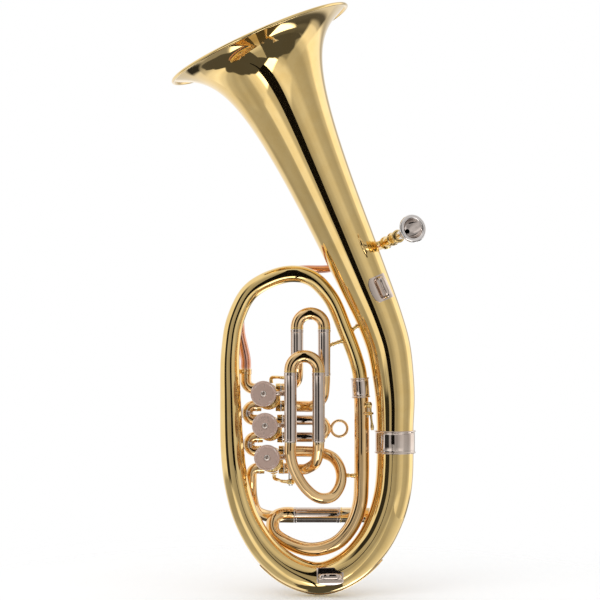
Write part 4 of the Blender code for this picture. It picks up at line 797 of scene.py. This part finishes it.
make_slide("second", "slide_2", "slide_2", [
    ("upper", (-118.2, 15, 21.7), (-83.2, 15, 21.7)),
    ("lower", (-118.2, 15, 3.7), (-83.2, 15, 3.7))], 1.6, SMALL_SLIDE_RADII)
RING_MIDDLE = Vector((-58.2, 15, 12.7))
RING_FOOT = Vector((-68.9, 15, 12.7))
bpy.ops.object.select_all(action="DESELECT")
bpy.ops.mesh.primitive_torus_add(
    major_segments=72, minor_segments=20, major_radius=8.4 * MM, minor_radius=1.45 * MM)
ring = bpy.context.object
ring.data.transform(Matrix.Translation(RING_MIDDLE * MM)
                    @ Matrix.Rotation(math.radians(90), 4, "X"))
bpy.ops.object.shade_smooth()
neck = turn_piece("ring_neck", [(0, 0), (2.6, 0), (2.2, 0.5), (1.5, 1.0), (1.5, 1.8), (1.9, 2.2),
                                (1.5, 2.6), (0, 2.6)], RING_FOOT, (1, 0, 0), 32, 0.1)
pull_ring = join_pieces("second_pull_ring", ring, neck)
fit(pull_ring, tube_brass, "slide_2")


# The third valve's slide is the longest and stands in front. Its left leg runs on into a round
# loop back to the valve, and its right leg into a short bend.

make_slide("third", "slide_3", "slide_3", [
    ("left", (-109.6, -32, 2.0), (-109.6, -32, 73.5)),
    ("right", (-80.6, -32, 2.0), (-80.6, -32, 73.5))], 2.2)
make_branch("third_loop", [
    (-109.6, -32, 1.7, 6.2), (-109.6, -32, -12, 6.0), (-105, -30.5, -28, 5.8),
    (-93.5, -28, -46.5, 5.7), (-80, -25, -56.5, 5.7), (-66.5, -21, -55.5, 5.7),
    (-57.8, -16, -43.5, 5.7), (-57.6, -9, -28.5, 5.7), (-65, -2, -17, 5.7),
    (-78, 5, -12.1, 5.7), (-94, 12, -11.3, 5.7), (-108, 15, -11.3, 5.8),
    (-116.6, 15, -11.3, 5.8)], "slide_3_loop", 1.8, 16)
make_branch("third_right_bend", [
    (-80.6, -32, 1.7, 6.2), (-80.6, -32, -2, 6.1), (-81.2, -30, -9, 6.0),
    (-83.5, -25, -19.5, 5.8), (-92, -13.5, -27, 5.7), (-101, 1, -29.2, 5.7),
    (-111.6, 15, -29.3, 5.7), (-114.1, 15, -29.3, 5.7), (-116.6, 15, -29.3, 5.8)],
    "slide_3_right_branch")


# The braces: short turned brass bars with a round foot at each end, soldered between tubes so
# that the horn holds its shape.

SHORTEST_TURNED = 6.0    # a shorter brace is only a waisted stub


def make_brace(name, start, end, radius, foot, node, balls=False):
    """A turned bar between two points, with a spreading foot at each end."""
    start, end = Vector(start), Vector(end)
    along = (end - start).normalized()
    length = (end - start).length
    if length > SHORTEST_TURNED:
        outline = [(0, 0), (foot, 0), (foot, 0.4), (radius + 0.5, 1.1), (radius, 1.8)]
        for share in (0.28, 0.72) if balls else ():
            outline += [(radius, length * share - 0.7), (radius + 0.6, length * share),
                        (radius, length * share + 0.7)]
        outline += [(radius, length - 1.8), (radius + 0.5, length - 1.1), (foot, length - 0.4)]
    else:
        outline = [(0, 0), (foot, 0), (foot - 0.3, 0.4), (radius, length / 2),
                   (foot - 0.3, length - 0.4)]
    outline += [(foot, length), (0, length)]
    fit(turn_piece(name, outline, start, along, 32, 0.06), lacquered_brass, "horn", node)


make_brace("bell_to_bow_stay", (-45.0, 0, 117.4), (-39.3, 0, 121.6), 1.9, 2.9, "bell_brace")
make_brace("slide_to_bow_stay", (-69.0, -12.2, 101.4), (-56.0, -3.2, 105.6), 1.7, 2.6,
           "slide_brace", True)
make_brace("loop_to_branch_stay", (-52.0, -10.6, -34.4), (-42.9, -2.4, -35.6), 1.8, 2.6,
           "loop_brace", True)
make_brace("leadpipe_to_bow_stay", (-162.6, 7.6, 73.2), (-160.3, 10.4, 73.2), 1.8, 2.2,
           "leadpipe_brace")
make_brace("receiver_to_bell_stay", (-20.4, 3.2, 207.6), (-15.9, 4.2, 208.4), 2.2, 2.8,
           "receiver_brace")


# The strap fittings: two nickel plates bent to the tubes and soldered on, each with a raised bar
# that the hook of a shoulder strap takes.

BAR_RISE = 10.0       # the strap bar's middle above the tube
BAR_SPREAD = 0.6      # the bar is this much wider than it is thick
PLATE_STAND = 1.35    # the plate's outer face above the tube
ROUNDING = 0.62       # how much of the plate's rounded side is cut back at its ends
ROUND_POWER = 2.6


def round_across(tube_along, facing):
    """The way that a fitting faces, square to its tube."""
    out = Vector(facing).normalized()
    return (out - tube_along * out.dot(tube_along)).normalized()


def make_strap_plate(name, centre, along, facing, tube_radius, size, round_side, node):
    """A plate that follows its tube, rounded on one side, and a broad bar on two feet."""
    along = along.normalized()
    out = round_across(along, facing)
    side = along.cross(out)
    axis_point = centre - out * tube_radius
    bpy.ops.object.select_all(action="DESELECT")
    bpy.ops.mesh.primitive_grid_add(x_subdivisions=24, y_subdivisions=12, size=1)
    plate = bpy.context.object
    width, length = size
    for corner in plate.data.vertices:
        across, run = corner.co.x * width, corner.co.y * length
        if corner.co.x * round_side > 0:
            across *= math.sqrt(max(0.0, 1 - ROUNDING * (abs(corner.co.y) * 2) ** ROUND_POWER))
        angle = across / (tube_radius + 0.5)
        corner.co = (axis_point + along * run + (side * math.sin(angle) + out * math.cos(angle))
                     * (tube_radius + PLATE_STAND)) * MM
    apply_modifier(plate, "plate_thickness", "SOLIDIFY", thickness=1.0 * MM, offset=-1.0)
    apply_modifier(plate, "plate_edge", "BEVEL", width=0.25 * MM, segments=2,
                   limit_method="ANGLE")
    bpy.ops.object.shade_smooth_by_angle(angle=SMOOTH_ANGLE)
    half = length / 2 - 3.0
    knots = []
    for run, rise, radius in (
            (-half, 0.6, 2.1), (-half, 2.4, 1.7), (-half + 0.5, BAR_RISE - 2.6, 1.7),
            (-half + 2.8, BAR_RISE, 1.9), (0, BAR_RISE, 2.1), (half - 2.8, BAR_RISE, 1.9),
            (half - 0.5, BAR_RISE - 2.6, 1.7), (half, 2.4, 1.7), (half, 0.6, 2.1)):
        knots.append((*(centre + along * run + out * rise), radius))
    bar = draw_tube("strap_bar", smooth_route(knots, 0.8, 8), None, 28)
    for corner in bar.data.vertices:
        away = corner.co - centre * MM
        corner.co += side * away.dot(side) * BAR_SPREAD
    fit(join_pieces(name, plate, bar), nickel_silver, "horn", node)


def on_tube(route, point, facing):
    """The tube's surface nearest to a point, on the side that faces one way."""
    index = min(range(1, len(route) - 1), key=lambda i: (route[i][0] - Vector(point)).length)
    along = (route[index + 1][0] - route[index - 1][0]).normalized()
    return route[index][0] + round_across(along, facing) * route[index][1], along, route[index][1]


BELL_FACING = (0.48, -1, 0.21)
centre, along, radius = on_tube(stem_route, (-25.0, 0, 157.0), BELL_FACING)
make_strap_plate("bell_strap_plate", centre, along, BELL_FACING, radius, (24.0, 27.0), -1,
                 "bell_strap_fitting")
BOW_FACING = (0.0, -1, 0.12)
BOW_PLATE_LIE = Vector((1, 0, 0.02))    # nearly level, across the bow's lowest part
centre, _, radius = on_tube(bow_route, (-67.5, 0, -141.0), BOW_FACING)
make_strap_plate("bow_strap_plate", centre, BOW_PLATE_LIE, BOW_FACING, radius, (19.0, 28.0), 1,
                 "bow_strap_fitting")


# The water key: a brass spout on the return branch, shut by a rocker with a cork pad that a
# small spring holds down until the player presses its tail.

KEY_OUT = Vector((0.7220, -0.6919, 0))       # away from the return branch
KEY_AXIS = Vector((-0.6919, -0.7220, 0))     # along the rocker's screw
SPOUT_ROOT = Vector((-29.84, -5.59, 29.99))
SPOUT_RISE = UP * 9.0
KEY_PIVOT = SPOUT_ROOT + KEY_OUT * 4.6
spout = turn_piece("spout", [(1.6, -0.6), (3.6, -0.6), (3.5, 0.2), (2.9, 0.9), (2.8, 2.3),
                             (2.5, 3.0), (1.6, 3.0)], SPOUT_ROOT + SPOUT_RISE, KEY_OUT, 40, 0.1)
saddle_middle = SPOUT_ROOT + KEY_OUT * 1.2
saddle = draw_tube("key_saddle", [(saddle_middle - UP * 4.3, 1.2), (saddle_middle + UP * 8.0, 1.2)],
                   None, 20)
ears = []
for side in (-2.9, 2.9):
    root = SPOUT_ROOT + KEY_OUT * 0.4 + KEY_AXIS * side
    tip = KEY_PIVOT + KEY_AXIS * side + KEY_OUT * 1.4
    ears.append(draw_tube("key_ear", [(root, 1.4), (root.lerp(tip, 0.5), 1.25), (tip, 1.0)],
                          None, 20))
screw = draw_tube("key_screw", [(KEY_PIVOT + KEY_AXIS * run, radius) for run, radius in (
    (-3.8, 1.3), (-3.2, 1.3), (-3.1, 0.8), (3.8, 0.8))], None, 20)
seat = join_pieces("water_key_spout", spout, saddle, *ears, screw)
fit(seat, lacquered_brass, "horn", "water_key_seat")

hinge = turn_piece("key_hinge_tube", [(0.95, 1.35), (2.0, 1.35), (2.1, 1.1), (2.1, -1.1),
                                      (2.0, -1.35), (0.95, -1.35)], KEY_PIVOT, KEY_AXIS, 32, 0.1)
pad_seat = SPOUT_ROOT + SPOUT_RISE + KEY_OUT * 3.4
lever = draw_tube("key_lever", smooth_route([
    (*(base + KEY_OUT * out - UP * drop), radius) for base, out, drop, radius in (
        (pad_seat, 2.0, 0, 1.5), (pad_seat, 1.6, 4, 1.3), (KEY_PIVOT, 1.0, 0, 1.3),
        (KEY_PIVOT, 2.2, 9, 1.2), (KEY_PIVOT, 3.0, 14, 1.9), (KEY_PIVOT, 3.2, 17.4, 1.3))],
    0.8, 8), None, 24)
cup = turn_piece("key_cup", [(0, 2.1), (2.0, 2.1), (3.1, 1.4), (3.3, 0.7), (3.3, 0.5), (0, 0.5)],
                 pad_seat, KEY_OUT, 40, 0.1)
key = join_pieces("water_key_rocker", hinge, lever, cup)
fit(key, lacquered_brass, "water_key", "water_key")

pressed_cork, cork_tree, cork_shader = new_material("pressed_cork")
cork_place = add_node(cork_tree, "ShaderNodeTexCoord").outputs["Object"]
grains = add_node(cork_tree, "ShaderNodeTexVoronoi", [("Vector", cork_place), ("Scale", 1800.0)])
grain_colour = blend(cork_tree, grains.outputs["Distance"], (0.50, 0.31, 0.17),
                     (0.28, 0.16, 0.08))
cork_tree.links.new(grain_colour, cork_shader.inputs["Base Color"])
cork_shader.inputs["Roughness"].default_value = 0.85
pad = turn_piece("water_key_cork", [(0, 0.5), (2.9, 0.5), (3.0, 0.3), (2.9, 0.0), (0, 0.0)],
                 pad_seat, KEY_OUT, 40, 0)
fit(pad, pressed_cork, "water_key")


# The studio floor: a round pale sheet under the horn that fades out into the white behind it.
# The horn's reflections leave it out, because the light tent holds what they show.

FLOOR_GAP = 0.0005
floor_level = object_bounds()[0][2] - FLOOR_GAP
bpy.ops.object.select_all(action="DESELECT")
bpy.ops.mesh.primitive_circle_add(vertices=96, radius=1.6, fill_type="NGON",
                                  location=(-0.1, 0, floor_level))
floor = bpy.context.object
floor.name = "studio_floor"
floor_paint, paint, paint_shader = new_material("studio_floor_paint")
paint_shader.inputs["Roughness"].default_value = 0.9
paint_shader.inputs["Specular IOR Level"].default_value = 0.0
floor_place = add_node(paint, "ShaderNodeTexCoord").outputs["Object"]
away = add_node(paint, "ShaderNodeVectorMath", [("Vector", floor_place)], operation="LENGTH")
fade = map_range(paint, away.outputs["Value"], 0.10, 0.55, 1.0, 0.0,
                 interpolation_type="SMOOTHSTEP")
grain = add_node(paint, "ShaderNodeTexNoise", [("Vector", floor_place), ("Scale", 220.0)])
tint = blend(paint, grain.outputs["Fac"], (0.97, 0.97, 0.97), (0.985, 0.985, 0.985))
paint.links.new(tint, paint_shader.inputs["Base Color"])
paint.links.new(fade, paint_shader.inputs["Alpha"])
floor.data.materials.append(floor_paint)
floor.visible_glossy = False


# The screens: a narrow black cloth flag on its stand in front of the horn, which polished brass
# shows as its long dark line, and a grey card on the right that tones down the bows' right side.
# The card's light is painted: it glows by its own emission, grey at its front and near white at
# its back, instead of being lit by the lamps.

def make_screen(name, corners, paper):
    """A flat screen that only reflections see: its two lower corners, then its two upper."""
    bpy.ops.object.select_all(action="DESELECT")
    bpy.ops.mesh.primitive_plane_add(size=1, location=(0, 0, 0))
    screen = bpy.context.object
    screen.name = name
    for vertex, corner in zip(screen.data.vertices, corners):
        vertex.co = corner
    screen.data.materials.append(paper)
    screen.visible_camera = False
    screen.visible_diffuse = False
    screen.visible_shadow = False
    return screen


flag_cloth, cloth_tree, cloth_shader = new_material("black_flag_cloth")
weave = add_node(cloth_tree, "ShaderNodeTexNoise", [("Scale", 900.0)])
weave_tone = blend(cloth_tree, weave.outputs["Fac"], (0.004, 0.004, 0.004),
                   (0.010, 0.009, 0.009))
cloth_tree.links.new(weave_tone, cloth_shader.inputs["Base Color"])
cloth_shader.inputs["Roughness"].default_value = 0.95
cloth_shader.inputs["Specular IOR Level"].default_value = 0.0
flag = make_screen("black_flag", [
    (-0.160, -0.35, -0.04), (-0.030, -0.35, -0.04), (-0.160, -0.35, 0.66),
    (-0.056, -0.35, 0.66)], flag_cloth)
stand = make_screen("black_flag_stand", [
    (-0.133, -0.35, -0.64), (-0.111, -0.35, -0.64), (-0.133, -0.35, -0.04),
    (-0.111, -0.35, -0.04)], flag_cloth)

# Painted light: the card glows by its own emission instead of being lit, grey at the front and near
# white at the back.
card_glow_paint, card_tree, card_shader = new_material("grey_card_glow_paint")
card_place = add_node(card_tree, "ShaderNodeTexCoord").outputs["Object"]
card_depth = add_node(card_tree, "ShaderNodeSeparateXYZ", [("Vector", card_place)])
card_glow_falloff = map_range(card_tree, card_depth.outputs["Y"], -0.14, 0.06)
card_glow_tone = blend(card_tree, card_glow_falloff, (0.46, 0.46, 0.46), (0.95, 0.95, 0.95))
card_tree.links.new(card_glow_tone, card_shader.inputs["Emission Color"])
card_shader.inputs["Emission Strength"].default_value = 1.0
card_shader.inputs["Base Color"].default_value = (0, 0, 0, 1)
card_shader.inputs["Specular IOR Level"].default_value = 0.0
card = make_screen("grey_card", [
    (0.10, -0.35, -0.55), (0.10, 0.12, -0.55), (0.10, -0.35, -0.125), (0.10, 0.12, -0.125)],
    card_glow_paint)


# The light tent: white cloth all round, lit as broad soft panels at five heights, with the dark
# gaps between them and the dark table edge below. The camera sees plain white.

world = bpy.data.worlds.new("light_tent")
bpy.context.scene.world = world
world.use_nodes = True
sky = world.node_tree
toward = add_node(sky, "ShaderNodeTexCoord").outputs["Generated"]
way = add_node(sky, "ShaderNodeSeparateXYZ", [("Vector", toward)])
ahead = add_node(sky, "ShaderNodeMath", [(0, way.outputs["Y"]), (1, -1.0)], operation="MULTIPLY")
azimuth = add_node(sky, "ShaderNodeMath", [
    (0, way.outputs["X"]), (1, ahead.outputs[0])], operation="ARCTAN2")
round_tent = map_range(sky, azimuth.outputs[0], -math.pi, math.pi)
height = add_node(sky, "ShaderNodeMath", [(0, way.outputs["Z"])], operation="ARCSINE").outputs[0]


def panel_ramp(name, stops):
    """The tent's brightness all round at one height, at angles from straight ahead in degrees."""
    ramp = add_node(sky, "ShaderNodeValToRGB", [("Fac", round_tent)], name=name)
    ramp.color_ramp.interpolation = "EASE"
    while len(ramp.color_ramp.elements) < len(stops):
        ramp.color_ramp.elements.new(0.5)
    for element, (angle, value) in zip(ramp.color_ramp.elements, stops):
        element.position = (angle + 180) / 360
        element.color = (value, value, value, 1)
    return ramp.outputs["Color"]


def rise_mask(low, high):
    """A mask that is 0 under one height and 1 over another, in degrees."""
    return map_range(sky, height, math.radians(low), math.radians(high))


roof = panel_ramp("roof_panels", [
    (-180, 0.95), (-60, 0.95), (-20, 0.75), (10, 0.70), (40, 0.62), (110, 0.62), (150, 0.8),
    (180, 0.95)])
upper = panel_ramp("upper_panels", [
    (-180, 1.0), (-120, 0.92), (-75, 0.95), (-66, 1.0), (-64, 0.03), (-40, 0.03), (-36, 0.50),
    (-10, 0.42), (8, 0.36), (18, 0.50), (32, 0.68), (42, 0.72), (56, 0.52), (80, 0.46),
    (95, 0.66), (106, 1.25), (135, 1.2), (150, 0.5), (165, 0.8), (180, 1.0)])
lower = panel_ramp("lower_panels", [
    (-180, 0.7), (-165, 1.0), (-135, 0.9), (-118, 0.42), (-60, 0.38), (-52, 0.46), (-46, 1.0),
    (-27, 1.05), (-18, 0.56), (0, 0.46), (12, 0.56), (24, 1.0), (40, 0.9), (54, 0.52), (80, 0.48),
    (95, 0.75), (108, 1.1), (128, 1.0), (134, 0.6), (142, 0.1), (147, 0.1), (155, 0.8),
    (180, 1.0)])
edge = panel_ramp("edge_panels", [
    (-180, 0.03), (-176, 0.03), (-172, 0.9), (-160, 1.0), (-135, 0.9), (-118, 0.5), (-60, 0.45),
    (-52, 0.5), (-46, 1.0), (-27, 1.05), (-18, 0.6), (0, 0.5), (12, 0.6), (24, 1.0), (36, 0.9),
    (50, 0.6), (58, 0.3), (104, 0.3), (112, 0.1), (127, 0.15), (134, 0.08), (147, 0.1),
    (155, 0.7), (165, 0.8), (174, 0.6), (178, 0.03), (180, 0.03)])
deep = panel_ramp("table_edge", [
    (-180, 0.3), (-170, 0.6), (-160, 1.0), (-148, 1.15), (-135, 0.9), (-120, 0.6), (-100, 0.5),
    (-84, 0.55), (-66, 0.45), (-50, 0.5), (-36, 0.9), (-18, 1.1), (-12, 3.0), (44, 3.2),
    (46, 0.15), (112, 0.12), (124, 0.15), (126, 3.2), (150, 3.0), (160, 2.6), (164, 0.3),
    (180, 0.3)])
brink = panel_ramp("table_outline", [
    (-180, 0.55), (-172, 0.50), (-165, 0.38), (-150, 0.22), (-130, 0.24), (-100, 0.20),
    (-50, 0.26), (-30, 0.31), (-10, 0.38), (5, 0.40), (40, 0.42), (44, 0.50), (55, 0.60),
    (70, 0.70), (80, 0.71), (95, 0.66), (104, 0.70), (110, 0.64), (114, 0.38), (162, 0.36),
    (170, 0.45), (180, 0.55)])
rise = map_range(sky, height, -math.pi / 2, 0.0)
over_brink = add_node(sky, "ShaderNodeMath", [(0, rise), (1, brink)], operation="SUBTRACT")
table_mask = map_range(sky, over_brink.outputs[0], -0.012, 0.012)
ground = (0.085, 0.085, 0.085)
level = ground
for source, mask in ((deep, table_mask), (edge, rise_mask(-39.5, -37)),
                     (lower, rise_mask(-28, -25)), (upper, rise_mask(-13, -10)),
                     (roof, rise_mask(28, 50))):
    level = blend(sky, mask, level, source)
level = blend(sky, table_mask, ground, level)
ray = add_node(sky, "ShaderNodeLightPath")
seen = blend(sky, ray.outputs["Is Glossy Ray"], (1, 1, 1), level)
sky.links.new(seen, sky.nodes["Background"].inputs["Color"])
sky.nodes["Background"].inputs["Strength"].default_value = 1.0


# The lamp and the camera: one large softbox high on the left gives the soft shadows, and a long
# lens stands two metres in front, so that a pixel is 1.05 mm at the horn's middle.

key_light = bpy.data.lights.new("key_softbox", "AREA")
key_light.size = 1.2
key_light.energy = 6.0
key_lamp = bpy.data.objects.new("key_softbox", key_light)
bpy.context.scene.collection.objects.link(key_lamp)
key_lamp.location = (-1.2, -1.3, 1.7)
key_lamp.rotation_euler = (Vector((-0.1, 0, 0.1)) - key_lamp.location).to_track_quat(
    "-Z", "Y").to_euler()
key_lamp.visible_glossy = False

camera_data = bpy.data.cameras.new("photo_camera")
camera_data.sensor_width = 36.0
camera_data.lens = 114.3      # 630 mm across the frame, two metres away
camera = bpy.data.objects.new("photo_camera", camera_data)
bpy.context.scene.collection.objects.link(camera)
camera.location = (-0.09975, -2.0, 0.1486)
camera.rotation_euler = (math.radians(90), 0, 0)
bpy.context.scene.camera = camera
bpy.context.scene.view_settings.view_transform = "Standard"
